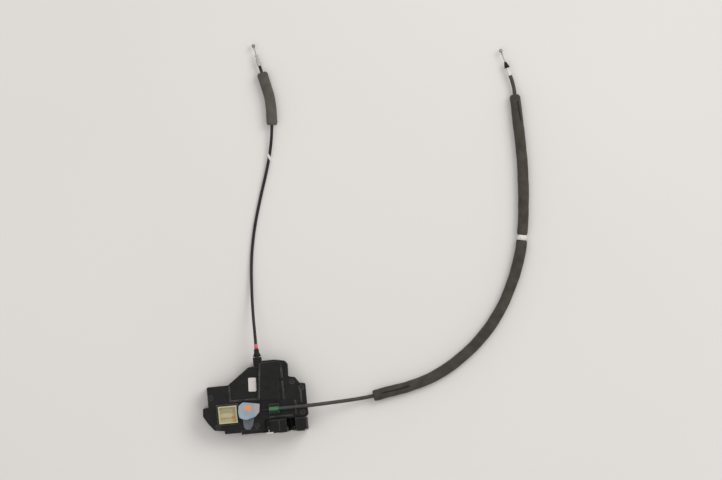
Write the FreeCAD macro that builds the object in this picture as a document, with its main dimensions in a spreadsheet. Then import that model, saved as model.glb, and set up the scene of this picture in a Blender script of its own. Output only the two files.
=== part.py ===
import FreeCAD, Part
import math
import os
import re
import Sketcher

# A vehicle front door latch with its lock actuator and two pull cables, lying on its back.
# Millimetres. +X runs along the face plate, +Y away from it, +Z up from the surface it lies on.
# The origin is under the middle of the latch, without its cables.

SIZES = [
    ("wall", 2.2, "moulded wall of base and cover"),
    ("floor_thick", 2.0, "floor of the base"),
    ("base_top", 20.0, "joint line between base and cover"),
    ("cover_top", 34.0, "top of the cover's low field"),
    ("motor_hood_top", 40.0, "top of the raised hood over the motor"),
    ("cover_roof", 2.2, "roof of the cover"),
    ("rib_high", 1.6, "stiffening ribs on the cover"),
    ("rib_thick", 1.8, "width of a stiffening rib"),
    ("skirt_left", -74.2, "left side of the casing"),
    ("edge_right", 83.4, "right side of the casing"),
    ("edge_back", "=motor_front + motor_long + 3.6", "side of the casing away from the face plate"),
    ("snout_end", 62.0, "end of the snout that holds the inside cable"),
    ("latch_left", 14.0, "left side of the latch block"),
    ("latch_right", "=slot_mid + 27", "right side of the latch block"),
    ("latch_high", 53.0, "height of the latch block"),
    ("plate_back", -59.0, "inner face of the face plate"),
    ("plate_thick", 2.0, "face plate"),
    ("plate_left", -25.0, "left end of the face plate"),
    ("plate_corner", 6.0, "rounded corners of the face plate"),
    ("back_plate_face", -39.2, "outer face of the back plate, on the casing"),
    ("back_plate_thick", 1.6, "back plate"),
    ("slot_mid", 55.0, "middle of the striker slot"),
    ("slot_wide", 12.0, "width of the striker slot"),
    ("slot_foot", 18.0, "bottom of the striker slot"),
    ("claw_x", "=slot_mid - 15", "claw pivot"),
    ("claw_z", 25.0, "claw pivot height"),
    ("claw_reach", 21.0, "outer radius of the claw's steel"),
    ("claw_waist", 11.0, "radius of the claw round its pivot"),
    ("claw_notch", 17.0, "radius of the notch floor where the pawl drops in"),
    ("claw_steel", 4.4, "thickness of the claw's steel"),
    ("claw_coat", 0.8, "plastic coat on the claw"),
    ("mouth_half", 5.8, "half width of the claw's mouth in the steel"),
    ("mouth_foot", 9.2, "distance from the pivot to the mouth's foot"),
    ("claw_swing", 50.0, "degrees from open to latched"),
    ("claw_pin_r", 4.0, "claw pin"),
    ("pawl_x", "=slot_mid + 16", "pawl pivot"),
    ("pawl_z", 15.0, "pawl pivot height"),
    ("pawl_pin_r", 3.4, "pawl pin"),
    ("pawl_hub", 6.2, "radius of the pawl round its pivot"),
    ("tooth_face", -45.0, "direction of the claw's tooth from its pivot, latched"),
    ("nose_gap", 0.7, "pawl's nose above the notch floor, latched"),
    ("pawl_lift", 23.0, "degrees the pawl is lifted at rest"),
    ("pawl_thick", 5.2, "pawl"),
    ("pivot_gap", 0.06, "radial clearance of a part that turns on a pin"),
    ("side_gap", 0.4, "end clearance of a part that turns on a pin"),
    ("rivet_head", 6.2, "radius of a rivet's head"),
    ("rivet_head_thick", 1.0, "rivet's head"),
    ("screw_hole_r", 2.5, "threaded hole of the face plate"),
    ("collar_r", 4.4, "collar drawn round a threaded hole"),
    ("collar_long", 4.0, "collar behind the plate"),
    ("hole_a_x", 22.0, "upper left hole"),
    ("hole_a_z", 47.0, "upper left hole height"),
    ("hole_b_x", "=slot_mid + 19", "right hole"),
    ("hole_b_z", 45.0, "right hole height"),
    ("hole_c_x", -12.0, "lower left hole"),
    ("hole_c_z", 14.0, "lower left hole height"),
    ("spring_wire", 1.5, "wire of the return springs"),
    ("motor_x", 30.0, "motor axis"),
    ("motor_z", 14.0, "motor axis height"),
    ("motor_front", 29.0, "motor face with the shaft"),
    ("motor_long", 23.0, "motor can"),
    ("motor_r", 12.0, "motor can's round sides"),
    ("motor_flat", 10.0, "half height over the can's flats"),
    ("shaft_r", 1.15, "motor shaft"),
    ("worm_long", 20.0, "worm"),
    ("worm_pitch_r", 4.0, "pitch radius of the worm"),
    ("wheel_module", 1.0, "module of the worm wheel"),
    ("wheel_teeth", 30.0, "teeth of the worm wheel"),
    ("wheel_y", 14.0, "worm wheel axis"),
    ("wheel_wide", 5.0, "face width of the worm wheel"),
    ("wheel_pin_r", 2.5, "axle of the worm wheel"),
    ("pinion_module", 1.2, "module of the small pinion and the lock lever"),
    ("pinion_teeth", 10.0, "teeth of the small pinion"),
    ("sector_teeth", 36.0, "teeth that a full circle of the lock lever would have"),
    ("pinion_high", 6.4, "height of the small pinion"),
    ("mesh_gap", 0.3, "play between meshing teeth"),
    ("lock_thick", 4.0, "lock lever"),
    ("lock_pin_r", 3.0, "axle of the lock lever"),
    ("inner_x", -4.0, "axle of the inside release lever"),
    ("inner_y", 33.0, "axle of the inside release lever"),
    ("inner_arm", 15.6, "axle to the cable on the inside release lever"),
    ("inner_foot", 23.6, "underside of the inside release lever"),
    ("inner_thick", 2.8, "inside release lever"),
    ("inner_swing", 30.0, "degrees of the inside release lever"),
    ("inner_cable_z", 28.0, "height of the inside handle's cable"),
    ("outer_x", -13.5, "axle of the outside release lever"),
    ("outer_y", -46.4, "axle of the outside release lever"),
    ("outer_thick", 2.4, "outside release lever"),
    ("outer_gap", 0.4, "outside release lever above the cover"),
    ("outer_swing", 18.0, "degrees of the outside release lever"),
    ("cap_high", 10.0, "cable cap on the outside release lever"),
    ("cap_wall", 1.8, "wall of the cable cap"),
    ("outer_cable_z", 42.0, "height of the outside handle's cable"),
    ("ferrule_x", 22.0, "near end of the outside cable's ferrule"),
    ("ferrule_y", -22.3, "near end of the outside cable's ferrule"),
    ("ferrule_long", 15.2, "outside cable's ferrule"),
    ("ferrule_r", 3.6, "outside cable's ferrule"),
    ("wire_r", 0.75, "pull wire"),
    ("wire_gap", 0.1, "radial clearance of a wire in its ferrule"),
    ("boot_r", 4.0, "inside cable's ferrule"),
    ("boot_long", 24.0, "inside cable's ferrule"),
    ("inner_conduit_r", 2.4, "inside cable"),
    ("outer_conduit_r", 3.0, "outside cable"),
    ("foam_r", 9.0, "foam sleeves"),
    ("foam_gap", 0.1, "foam sleeve round its cable"),
    ("inner_foam_start", 364.0, "length along the inside cable where its foam starts"),
    ("inner_foam_long", 86.0, "foam sleeve of the inside cable"),
    ("outer_foam_start", 157.0, "length along the outside cable where its foam starts"),
    ("lower_foam_long", 373.5, "lower foam sleeve of the outside cable"),
    ("foam_split", 2.0, "gap between the two foam sleeves"),
    ("upper_foam_long", 226.0, "upper foam sleeve of the outside cable"),
    ("fitting_r", 3.1, "white end fittings"),
    ("inner_fitting_long", 18.0, "end fitting of the inside cable"),
    ("outer_fitting_long", 13.0, "end fitting of the outside cable"),
    ("seal_long", 10.0, "rubber seal on the outside cable's end"),
    ("ball_r", 3.0, "ball on the end of a pull wire"),
    ("inner_wire_out", 15.0, "bare wire at the inside cable's far end"),
    ("outer_wire_out", 19.0, "bare wire at the outside cable's far end"),
    ("plug_left", -59.1, "connector"),
    ("plug_front", -39.0, "connector"),
    ("plug_wide", 29.6, "connector along X"),
    ("plug_deep", 27.6, "connector along Y"),
    ("plug_top", 42.0, "rim of the connector"),
    ("plug_wall", 1.8, "wall of the connector"),
    ("plug_well", 8.0, "depth of the connector's well"),
    ("plug_fit", 0.15, "connector in the cover's opening"),
    ("blade_wide", 2.2, "connector blade"),
    ("blade_thick", 0.7, "connector blade"),
    ("blade_pitch", 4.4, "from one blade to the next"),
    ("case_screw_r", 1.7, "case screws"),
    ("case_screw_head", 3.6, "head of a case screw"),
]

# Both cables' routes, as corner points chosen by eye along each cable, in order from the latch.
INNER_ROUTE = [
    (10.4, 74.9, 28.0), (9.8, 97.1, 28.0), (9.1, 130.3, 19.0), (10.3, 173.4, 6.8),
    (14.3, 221.2, 2.9), (23.6, 268.5, 2.6), (38.3, 317.4, 2.7), (54.1, 364.1, 4.4),
    (63.8, 403.4, 8.6), (67.5, 441.2, 9.3), (67.1, 471.4, 9.2), (62.9, 499.5, 9.2),
    (57.4, 525.5, 9.2),
]
OUTER_ROUTE = [
    (37.2, -22.3, 42.0), (61.1, -22.3, 42.0), (93.2, -22.1, 39.5), (123.4, -21.1, 30.5),
    (153.7, -19.7, 19.0), (183.0, -17.8, 11.4), (215.6, -12.8, 9.4), (254.4, -6.4, 9.3),
    (295.9, 8.3, 9.2), (336.3, 32.6, 9.2), (372.4, 64.0, 9.3), (403.1, 102.8, 9.2),
    (426.8, 146.8, 9.3), (443.3, 190.4, 9.2), (453.2, 238.7, 9.3), (458.5, 288.4, 9.2),
    (460.5, 338.5, 9.3), (460.1, 388.7, 9.2), (461.0, 434.8, 9.3), (459.1, 458.1, 9.2),
    (454.9, 473.2, 9.2),
]

doc = FreeCAD.newDocument("DoorLatch")
sheet = doc.addObject("Spreadsheet::Sheet", "Sizes")
for row, (alias, number, meaning) in enumerate(SIZES, start=1):
    sheet.set("A%d" % row, alias)
    sheet.set("C%d" % row, meaning)
    sheet.setAlias("B%d" % row, alias)
for row, (alias, number, meaning) in enumerate(SIZES, start=1):
    sheet.set("B%d" % row, str(number))
doc.recompute()


class Values:
    """The sheet's numbers, read by name."""

    def __getattr__(self, name):
        return float(sheet.get(name))


S = Values()
ALIASES = {alias for alias, number, meaning in SIZES}
WORD = re.compile(r"[a-z][a-z_]*")
X_AXIS = FreeCAD.Vector(1, 0, 0)
Y_AXIS = FreeCAD.Vector(0, 1, 0)
Z_AXIS = FreeCAD.Vector(0, 0, 1)
TURNED = {
    "x": FreeCAD.Rotation(Y_AXIS, 90),
    "y": FreeCAD.Rotation(X_AXIS, -90),
    "z": FreeCAD.Rotation(),
}
nodes = {}


def bound(text):
    """An expression in which every size's name points at the sheet."""
    return WORD.sub(lambda found: "Sizes." + found[0] if found[0] in ALIASES else found[0], str(text))


def bind(thing, **formulas):
    """Binds a feature's properties to formulas of the sizes."""
    for prop, text in formulas.items():
        thing.setExpression(prop, bound(text))
    return thing


def seat(thing, x, y, z, rotation=None):
    """Turns a feature and binds its place to formulas of the sizes."""
    thing.Placement = FreeCAD.Placement(FreeCAD.Vector(), rotation or FreeCAD.Rotation())
    for letter, text in (("x", x), ("y", y), ("z", z)):
        thing.setExpression("Placement.Base." + letter, bound(text))
    return thing


def box(name, x, y, z, long, wide, high):
    """A block from its low corner and its three lengths."""
    thing = doc.addObject("Part::Box", name)
    bind(thing, Length=long, Width=wide, Height=high)
    return seat(thing, x, y, z)


def rod(name, radius, long, x, y, z, axis="z"):
    """A cylinder that starts at a point and runs along an axis."""
    thing = doc.addObject("Part::Cylinder", name)
    bind(thing, Radius=radius, Height=long)
    return seat(thing, x, y, z, TURNED[axis] if isinstance(axis, str) else axis)


def cone(name, first, last, long, x, y, z, axis="z"):
    """A cone from its first radius to its last."""
    thing = doc.addObject("Part::Cone", name)
    bind(thing, Radius1=first, Radius2=last, Height=long)
    return seat(thing, x, y, z, TURNED[axis] if isinstance(axis, str) else axis)


def joined(name, *things):
    """Several features made into one solid."""
    thing = doc.addObject("Part::MultiFuse", name)
    thing.Shapes = list(things)
    return thing


def cut(name, base, *tools):
    """A feature with others taken out of it."""
    for count, tool in enumerate(tools):
        thing = doc.addObject("Part::Cut", name if count == len(tools) - 1 else "%sStep%d" % (name, count))
        thing.Base = base
        thing.Tool = tool
        base = thing
    return base


def shared(name, first, second):
    """What two features have in common."""
    thing = doc.addObject("Part::Common", name)
    thing.Base = first
    thing.Tool = second
    return thing


def group(name, *things):
    """Separate solids of one node."""
    thing = doc.addObject("Part::Compound", name)
    thing.Links = list(things)
    return thing


def solid(label, thing):
    """Names a finished piece."""
    thing.Label = label
    nodes[label] = thing
    return thing


def rounded(corners):
    """Lines and arcs through corners, each given as x, y and, where it is rounded, a radius."""
    ends = []
    count = len(corners)
    for at, corner in enumerate(corners):
        point = FreeCAD.Vector(corner[0], corner[1], 0)
        radius = corner[2] if len(corner) > 2 else 0
        back = (FreeCAD.Vector(*corners[at - 1][:2], 0) - point).normalize()
        ahead = (FreeCAD.Vector(*corners[(at + 1) % count][:2], 0) - point).normalize()
        half = back.getAngle(ahead) / 2
        if radius and half < math.radians(89):
            trim = radius / math.tan(half)
            centre = point + (back + ahead).normalize() * (radius / math.sin(half))
            middle = centre + (point - centre).normalize() * radius
            ends.append((point + back * trim, middle, point + ahead * trim))
        else:
            ends.append((point, None, point))
    edges = []
    for at, (start, middle, end) in enumerate(ends):
        if middle is not None:
            edges.append(Part.Arc(start, middle, end))
        following = ends[(at + 1) % count][0]
        if (following - end).Length > 1e-6:
            edges.append(Part.LineSegment(end, following))
    return edges


def sketch(name, edges, plane="xy", level="0"):
    """A sketch of a closed outline on a level plane, or on an upright one that faces -Y."""
    thing = doc.addObject("Sketcher::SketchObject", name)
    thing.addGeometry(edges, False)
    if plane == "xy":
        return seat(thing, "0", "0", level)
    return seat(thing, "0", level, "0", FreeCAD.Rotation(X_AXIS, 90))


def slab(name, edges, level, thick, plane="xy"):
    """An outline's plate: it rises from its level, or runs from its level towards +Y."""
    thing = doc.addObject("Part::Extrusion", name)
    thing.Base = sketch(name + "Outline", edges, plane, level)
    thing.DirMode = "Custom"
    thing.Dir = Z_AXIS if plane == "xy" else Y_AXIS
    thing.Solid = True
    return bind(thing, LengthFwd=thick)


def inset(name, outline, by, level, thick):
    """The plate of a level outline drawn in by a wall."""
    ring = doc.addObject("Part::Offset2D", name + "Inset")
    ring.Source = outline
    ring.Join = 2
    bind(ring, Value="-(%s)" % by)
    thing = doc.addObject("Part::Extrusion", name)
    thing.Base = ring
    thing.DirMode = "Custom"
    thing.Dir = Z_AXIS
    thing.Solid = True
    bind(thing, LengthFwd=thick)
    return seat(thing, "0", "0", level)


def softened(name, thing, radius):
    """A slab with the edges of its top rounded."""
    doc.recompute()
    top = thing.Shape.BoundBox.ZMax
    soft = doc.addObject("Part::Fillet", name)
    soft.Base = thing
    rims = []
    for at, edge in enumerate(thing.Shape.Edges, start=1):
        if edge.BoundBox.ZMin > top - 0.01:
            rims.append((at, radius, radius))
    soft.Edges = rims
    return soft


def turned(point, centre, degrees):
    """A point turned about a centre."""
    angle = math.radians(degrees)
    dx = point[0] - centre[0]
    dy = point[1] - centre[1]
    x = centre[0] + dx * math.cos(angle) - dy * math.sin(angle)
    y = centre[1] + dx * math.sin(angle) + dy * math.cos(angle)
    return (x, y) + tuple(point[2:])


def polar(centre, radius, degrees, *rounding):
    """A point by its distance and direction from a centre."""
    angle = math.radians(degrees)
    return (centre[0] + radius * math.cos(angle), centre[1] + radius * math.sin(angle)) + rounding


def involute(ratio):
    """The involute angle where a circle is this many times the base circle."""
    reach = math.sqrt(max(ratio * ratio - 1, 0))
    return reach - math.atan(reach)


def gear_corners(centre, module, teeth, addendum, play, start, first, last):
    """Corners of involute teeth on a pitch circle, from one tooth number to another."""
    pressure = math.radians(25)
    pitch = module * teeth / 2
    base = pitch * math.cos(pressure)
    radii = (pitch - 1.25 * module, max(base, pitch - 0.6 * module), pitch, pitch + addendum)
    corners = []
    for tooth in range(int(first), int(last)):
        middle = math.radians(start) + 2 * math.pi * tooth / teeth
        halves = []
        for radius in radii:
            lean = involute(1 / math.cos(pressure)) - involute(max(radius / base, 1))
            halves.append(math.pi / (2 * teeth) - play / (2 * pitch) + lean)
        side = list(zip(radii, halves))
        for radius, half in side:
            corners.append(polar(centre, radius, math.degrees(middle - half)))
        for radius, half in reversed(side):
            corners.append(polar(centre, radius, math.degrees(middle + half)))
    return corners


def coil(name, radius, wire, turns, x, y, z, axis):
    """A spring's coil round an axis."""
    helix = doc.addObject("Part::Helix", name + "Line")
    bind(helix, Pitch="(%s) * 1.08" % wire, Height="(%s) * 1.08 * %s" % (wire, turns), Radius=radius)
    section = doc.addObject("Part::Circle", name + "Section")
    bind(section, Radius="(%s) / 2" % wire)
    seat(section, radius, "0", "0", FreeCAD.Rotation(X_AXIS, 90))
    sweep = doc.addObject("Part::Sweep", name + "Coil")
    sweep.Sections = [section]
    sweep.Spine = (helix, [])
    sweep.Solid = True
    sweep.Frenet = True
    return seat(sweep, x, y, z, TURNED[axis])


def route_edges(points):
    """Straight runs joined by tangent arcs, each arc as large as its two runs allow."""
    corners = [FreeCAD.Vector(*point) for point in points]
    edges = []
    radii = []
    last = corners[0]
    for before, corner, after in zip(corners, corners[1:], corners[2:]):
        back = (before - corner).normalize()
        ahead = (after - corner).normalize()
        trim = 0.45 * min((before - corner).Length, (after - corner).Length)
        half_turn = (math.pi - back.getAngle(ahead)) / 2
        radius = trim / math.tan(half_turn)
        centre = corner + (back + ahead).normalize() * (radius / math.cos(half_turn))
        middle = centre + (corner - centre).normalize() * radius
        edges.append(Part.LineSegment(last, corner + back * trim).toShape())
        edges.append(Part.Arc(corner + back * trim, middle, corner + ahead * trim).toShape())
        radii.append(radius)
        last = corner + ahead * trim
    edges.append(Part.LineSegment(last, corners[-1]).toShape())
    return edges, radii


def stretch(edges, start, end):
    """The part of a route between two lengths along it."""
    kept = []
    passed = 0.0
    for edge in edges:
        low = max(start - passed, 0.0)
        high = min(end - passed, edge.Length)
        if high - low > 1e-3:
            first = edge.getParameterByLength(low)
            last = edge.getParameterByLength(high)
            kept.append(edge.Curve.toShape(first, last))
        passed += edge.Length
    return kept


def pipe(label, edges, radius, bore=0.0):
    """A round tube along a route, its volume compared with its section times its length."""
    path = Part.Wire(edges)
    start = path.Edges[0].valueAt(path.Edges[0].FirstParameter)
    aim = path.Edges[0].tangentAt(path.Edges[0].FirstParameter)

    def swept(size):
        """A solid round bar of this radius along the path."""
        ring = Part.Wire(Part.Circle(start, aim, size).toShape())
        bar = path.makePipe(Part.Face(ring))
        return bar.Solids[0]

    shape = swept(radius)
    if bore:
        shape = shape.cut(swept(bore)).Solids[0]
    expected = math.pi * (radius ** 2 - bore ** 2) * path.Length
    if abs(shape.Volume - expected) > 0.002 * expected:
        raise ValueError("%s has volume %.1f, expected %.1f" % (label, shape.Volume, expected))
    thing = doc.addObject("Part::Feature", "".join(word.title() for word in label.split("_")))
    thing.Shape = shape
    return solid(label, thing)


# Outlines of the casing, seen from above

def casing_corners():
    """The casing's outline, which base and cover share."""
    return [
        (S.skirt_left, 20.9, 2), (-40.2, 21.4, 2), (-5.6, 46.6, 3), (3.6, 47.7, 1),
        (3.6, S.edge_back - 0.5, 2), (17.5, S.edge_back, 4), (38.0, S.edge_back, 30),
        (54.2, S.edge_back - 3.2, 5), (58.2, 46.4, 4), (57.4, 26.9, 2), (67.9, 24.7, 3), (74.2, 15.2, 2),
        (S.edge_right, 13.5, 2), (S.edge_right, -19.0, 8), (84.2, -35.4, 3), (80.5, S.back_plate_face, 2),
        (S.latch_left, S.back_plate_face, 1), (S.latch_left, -53.0, 2), (-24.5, -53.0, 1),
        (-25.5, -55.9, 1), (-51.4, -55.9, 1), (-51.8, -50.8, 1), (-67.7, -48.8, 4),
        (-77.3, -36.3, 4), (-84.2, -24.6, 3), (-83.0, -12.2, 2), (S.skirt_left, -11.0, 1),
    ]


def hood_corners():
    """The raised hood over the motor and its worm."""
    back = S.edge_back - 2.8
    return [
        (7.4, -4.8, 3), (13.8, back - 0.6, 4), (34.0, back, 30), (46.6, back - 1.6, 5), (48.4, 44.0, 3),
        (48.4, 25.4, 2), (41.2, 23.6, 2), (40.0, -10.4, 3),
    ]


def hood_room_corners():
    """The room under the hood, a wall inside its outline."""
    back = S.edge_back - 2.8 - S.wall
    wall = S.wall
    return [
        (7.8 + wall, -4.8 + wall, 1), (14.0 + wall, back - 0.6, 2), (34.0, back, 30), (46.0 - wall, back - 1.4, 3),
        (48.4 - wall, 44.0 - wall, 2), (48.4 - wall, 25.6 + wall, 1), (41.2 - wall, 23.6 + wall, 1),
        (40.0 - wall, -10.0 + wall, 1),
    ]


# Base of the casing, with its axles' bosses and the motor's cradle

base_outer = slab("BaseOuter", rounded(casing_corners()), "0", "base_top")
base_inner = inset("BaseInner", doc.getObject("BaseOuterOutline"), "wall", "floor_thick", "base_top")
base_shell = cut("BaseShell", base_outer, base_inner)
wheel_x = "motor_x - worm_pitch_r - wheel_module * wheel_teeth / 2"
lock_x = wheel_x + " - pinion_module * (pinion_teeth + sector_teeth) / 2"
wheel_foot = "motor_z - wheel_wide / 2"
base_bosses = []
for name, x, y, radius, top in (
    ("WheelBoss", wheel_x, "wheel_y", "wheel_pin_r + 2.6", wheel_foot + " - 0.3"),
    ("LockBoss", lock_x, "wheel_y", "lock_pin_r + 2.4", "motor_z + wheel_wide / 2 + 0.6"),
    ("InnerBoss", "inner_x", "inner_y", "lock_pin_r + 1.6", "inner_foot - 3.6"),
    ("OuterBoss", "outer_x", "outer_y", "lock_pin_r + 2.2", "base_top"),
):
    base_bosses.append(rod(name, radius, "%s - floor_thick / 2" % top, x, y, "floor_thick / 2"))
cradle_block = box(
    "CradleBlock", "motor_x - motor_r - 2", "motor_front + 4", "floor_thick / 2",
    "2 * motor_r + 4", "motor_long - 8", "motor_z - 2 - floor_thick / 2",
)
cradle_bed = rod("CradleBed", "motor_r", "motor_long + 8", "motor_x", "motor_front - 4", "motor_z", "y")
cradle_floor = box(
    "CradleFloor", "motor_x - motor_r - 1", "motor_front", "motor_z - motor_flat",
    "2 * motor_r + 2", "motor_long", "motor_flat",
)
cradle_gap = shared("CradleGap", cradle_bed, cradle_floor)
cradle = cut("Cradle", cradle_block, cradle_gap)
base_ribs = []
for count, (x, y, long, wide) in enumerate((
    ("skirt_left + 3", "-8", "30", "rib_thick"), ("-30", "-36", "rib_thick", "26"),
    ("56", "-37", "rib_thick", "50"), ("-30", "-12", "34", "rib_thick"),
)):
    base_ribs.append(box("BaseRib%d" % count, x, y, "floor_thick / 2", long, wide, "9"))
pin_bores = [
    rod("WheelPinBore", "wheel_pin_r", "base_top", wheel_x, "wheel_y", "floor_thick"),
    rod("LockPinBore", "lock_pin_r", "base_top", lock_x, "wheel_y", "floor_thick"),
    rod("InnerPinBore", "lock_pin_r", "base_top", "inner_x", "inner_y", "floor_thick"),
    rod("OuterPinBore", "lock_pin_r", "base_top", "outer_x", "outer_y", "floor_thick"),
]
base_body = joined("BaseBody", base_shell, cradle, *base_bosses, *base_ribs)

# Case screws stand in pillars at the casing's corners

SCREW_PLACES = (
    ("-69", "4"), ("-61.5", "-43.4"), ("0.5", "-46.7"), ("62.5", "18.5"), ("76.6", "7.6"), ("75.5", "-31.5"),
)
pillars = []
screw_bores = []
screw_recesses = []
screws = []
for count, (x, y) in enumerate(SCREW_PLACES):
    pillars.append(rod("Pillar%d" % count, "case_screw_r + 2.2", "base_top - floor_thick / 2", x, y,
                       "floor_thick / 2"))
    screw_bores.append(rod("ScrewBore%d" % count, "case_screw_r", "cover_top", x, y, "floor_thick + 4"))
    shank = rod("ScrewShank%d" % count, "case_screw_r", "cover_top - 4 - floor_thick - 2.4", x, y,
                "floor_thick + 4")
    head = rod("ScrewHead%d" % count, "case_screw_head", "2.2", x, y, "cover_top - 2.4")
    drive = rod("ScrewDrive%d" % count, "case_screw_head * 0.45", "2", x, y, "cover_top - 1.4")
    screws.append(cut("Screw%d" % count, joined("ScrewBody%d" % count, shank, head), drive))
    screw_recesses.append(rod("ScrewRecess%d" % count, "case_screw_head + 0.3", "4", x, y,
                              "cover_top - 2.4"))
pillar_set = joined("PillarSet", *pillars)
base_full = joined("BaseFull", base_body, pillar_set)
boot_aim = FreeCAD.Vector(*INNER_ROUTE[1]) - FreeCAD.Vector(*INNER_ROUTE[0])
boot_turn = FreeCAD.Rotation(Z_AXIS, boot_aim)
boot_way = FreeCAD.Vector(boot_aim).normalize()
inner_exit = FreeCAD.Vector(*INNER_ROUTE[0])
boot_foot = inner_exit - boot_way * S.boot_long
solid("base_housing", cut("BaseHousing", base_full, group("PinBoreSet", *pin_bores),
                          group("ScrewBoreSet", *screw_bores)))

# Cover, with the hood, the connector's collar, the cable's snout and ribs

cover_outer = slab("CoverOuter", rounded(casing_corners()), "base_top", "cover_top - base_top")
hood_outer = slab("HoodOuter", rounded(hood_corners()), "base_top", "motor_hood_top - base_top")
cover_soft = softened("CoverSoft", cover_outer, 0.8)
hood_soft = softened("HoodSoft", hood_outer, 1.2)
snout_block = box("SnoutBlock", "3.6", "46", "base_top", "14", "snout_end - 46",
                  "cover_top + 2 - base_top")
front_shelf = box("FrontShelf", "-25.2", "plate_back + 0.4", "base_top + 1", "38.9", "7",
                  "cover_top - 1.4 - base_top")
collar_outer = box(
    "CollarOuter", "plug_left - 2.4", "plug_front - 2.4", "base_top",
    "plug_wide + 4.2", "plug_deep + 4.8", "cover_top + 2 - base_top",
)
seat_block = box("SeatBlock", "ferrule_x", "ferrule_y - 6.4", "cover_top - cover_roof / 2",
                 "ferrule_long + 1", "14", "outer_cable_z - cover_top + cover_roof / 2")
cover_ribs = []
for count, (x, y, z, long, wide, high) in enumerate((
    ("-39.4", "-3.6", "cover_top - 1", "rib_thick", "23.6", "rib_high + 1"),
    ("-39.4", "-5.4", "cover_top - 1", "48", "rib_thick", "rib_high + 1"),
    ("73.8", "-16", "cover_top - 1", "rib_thick", "19", "rib_high + 1"),
    ("64.0", "-34", "cover_top - 1", "rib_thick", "22", "rib_high + 1"),
    ("46.0", "-8", "cover_top - 1", "rib_thick", "28", "rib_high + 1"),
    ("22", "-36.4", "cover_top - 1", "36", "rib_thick", "rib_high + 1"),
    ("46.2", "27", "motor_hood_top - 1", "rib_thick", "15", "rib_high + 1"),
)):
    cover_ribs.append(box("CoverRib%d" % count, x, y, z, long, wide, high))
ridge = slab("Ridge", rounded([(5.9, -4.6, 0.6), (7.9, -4.8, 0.6), (14.3, 51.4, 0.6), (12.3, 51.6, 0.6)]),
             "cover_top - 1", "motor_hood_top + 1.8 - cover_top")
cover_solid = joined("CoverSolid", cover_soft, hood_soft, snout_block, front_shelf, collar_outer, seat_block,
                     ridge, *cover_ribs)
cover_inner = inset("CoverInner", doc.getObject("CoverOuterOutline"), "wall", "0",
                    "cover_top - cover_roof - base_top")
hood_inner = slab("HoodInner", rounded(hood_room_corners()), "base_top",
                  "motor_hood_top - cover_roof - base_top")
plug_hole = box(
    "PlugHole", "plug_left - plug_fit", "plug_front - plug_fit", "0",
    "plug_wide + 2 * plug_fit", "plug_deep + 2 * plug_fit", "plug_top",
)
outer_shaft_hole = rod("OuterShaftHole", "lock_pin_r", "cover_top", "outer_x", "outer_y", "base_top / 2")
boot_hole = rod("BootHole", "boot_r", "boot_long + 4", str(boot_foot.x), str(boot_foot.y),
                "inner_cable_z", boot_turn)
ferrule_groove = rod("FerruleGroove", "ferrule_r", "ferrule_long + 10", "ferrule_x - 5", "ferrule_y",
                     "outer_cable_z", "x")
cover_pillars = []
for count, (x, y) in enumerate(SCREW_PLACES):
    cover_pillars.append(rod("CoverPillar%d" % count, "case_screw_head + 1.8", "cover_top - base_top",
                             x, y, "base_top"))
cover_hollow = cut("CoverHollow", cover_solid, cover_inner, hood_inner)
cover_posts = joined("CoverPosts", cover_hollow, *cover_pillars)
cover_holes = group("CoverHoles", plug_hole, outer_shaft_hole, boot_hole, ferrule_groove)
cover_screw_holes = []
for count, (x, y) in enumerate(SCREW_PLACES):
    cover_screw_holes.append(rod("CoverScrewHole%d" % count, "case_screw_r", "cover_top", x, y,
                                 "base_top / 2"))
solid("cover", cut("Cover", cover_posts, cover_holes, group("CoverScrewHoles", *cover_screw_holes),
                   group("ScrewRecesses", *screw_recesses)))
solid("case_screws", group("CaseScrews", *screws))

# Latch block: moulded housing with the claw's and pawl's cavities and the striker's slot

cavity_front = "plate_back"
cavity_deep = "2 * side_gap + claw_steel + 2 * claw_coat"
latch_deep = "back_plate_face - back_plate_thick - plate_back"
latch_block = slab(
    "LatchBlock",
    rounded([
        (S.latch_left, 0.0, 1), (S.latch_left, S.latch_high - 8, 2), (S.latch_left + 8, S.latch_high, 3),
        (S.latch_right - 4, S.latch_high, 5), (S.latch_right, S.latch_high - 12, 4),
        (S.latch_right, 0.0, 1),
    ]),
    "plate_back", latch_deep, "xz",
)
latch_lips = [
    box("LipLeft", "hole_a_x + 4.6", "plate_back - plate_thick + 0.1", "latch_high - 2.2", "26",
        "plate_thick + 1", "2.2"),
    box("LipRight", "slot_mid + 7.4", "plate_back - plate_thick + 0.1", "latch_high - 2.2",
        "latch_right - slot_mid - 13", "plate_thick + 1", "2.2"),
]
latch_rib = box("LatchRib", "slot_mid - 19.6", "plate_back + 1", "latch_high - 1", "1.2", "16", "1.9")
latch_body = joined("LatchBody", latch_block, latch_rib, *latch_lips)
claw_cavity = rod("ClawCavity", "claw_reach + claw_coat + 1.4", cavity_deep, "claw_x", cavity_front,
                  "claw_z", "y")
pawl_sweep = rod("PawlSweep", "pawl_x - slot_mid + 3.6", cavity_deep, "pawl_x", cavity_front, "pawl_z", "y")
pawl_room = box("PawlRoom", "slot_mid - 6", cavity_front, "1.6", "pawl_x + pawl_hub + 1.6 - slot_mid + 6",
                cavity_deep, "pawl_z + pawl_hub + 1.6 - 1.6")
pawl_cavity = shared("PawlCavity", pawl_sweep, pawl_room)


def slot_corners():
    """The striker's slot: straight sides, a round foot and a flared mouth."""
    half = S.slot_wide / 2
    top = S.latch_high + 4
    return [
        (S.slot_mid - half, S.slot_foot, half - 0.4), (S.slot_mid + half, S.slot_foot, half - 0.4),
        (S.slot_mid + half, S.latch_high - 6, 6), (S.slot_mid + half + 2, top, 0),
        (S.slot_mid - half - 2, top, 0), (S.slot_mid - half, S.latch_high - 6, 6),
    ]


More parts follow.
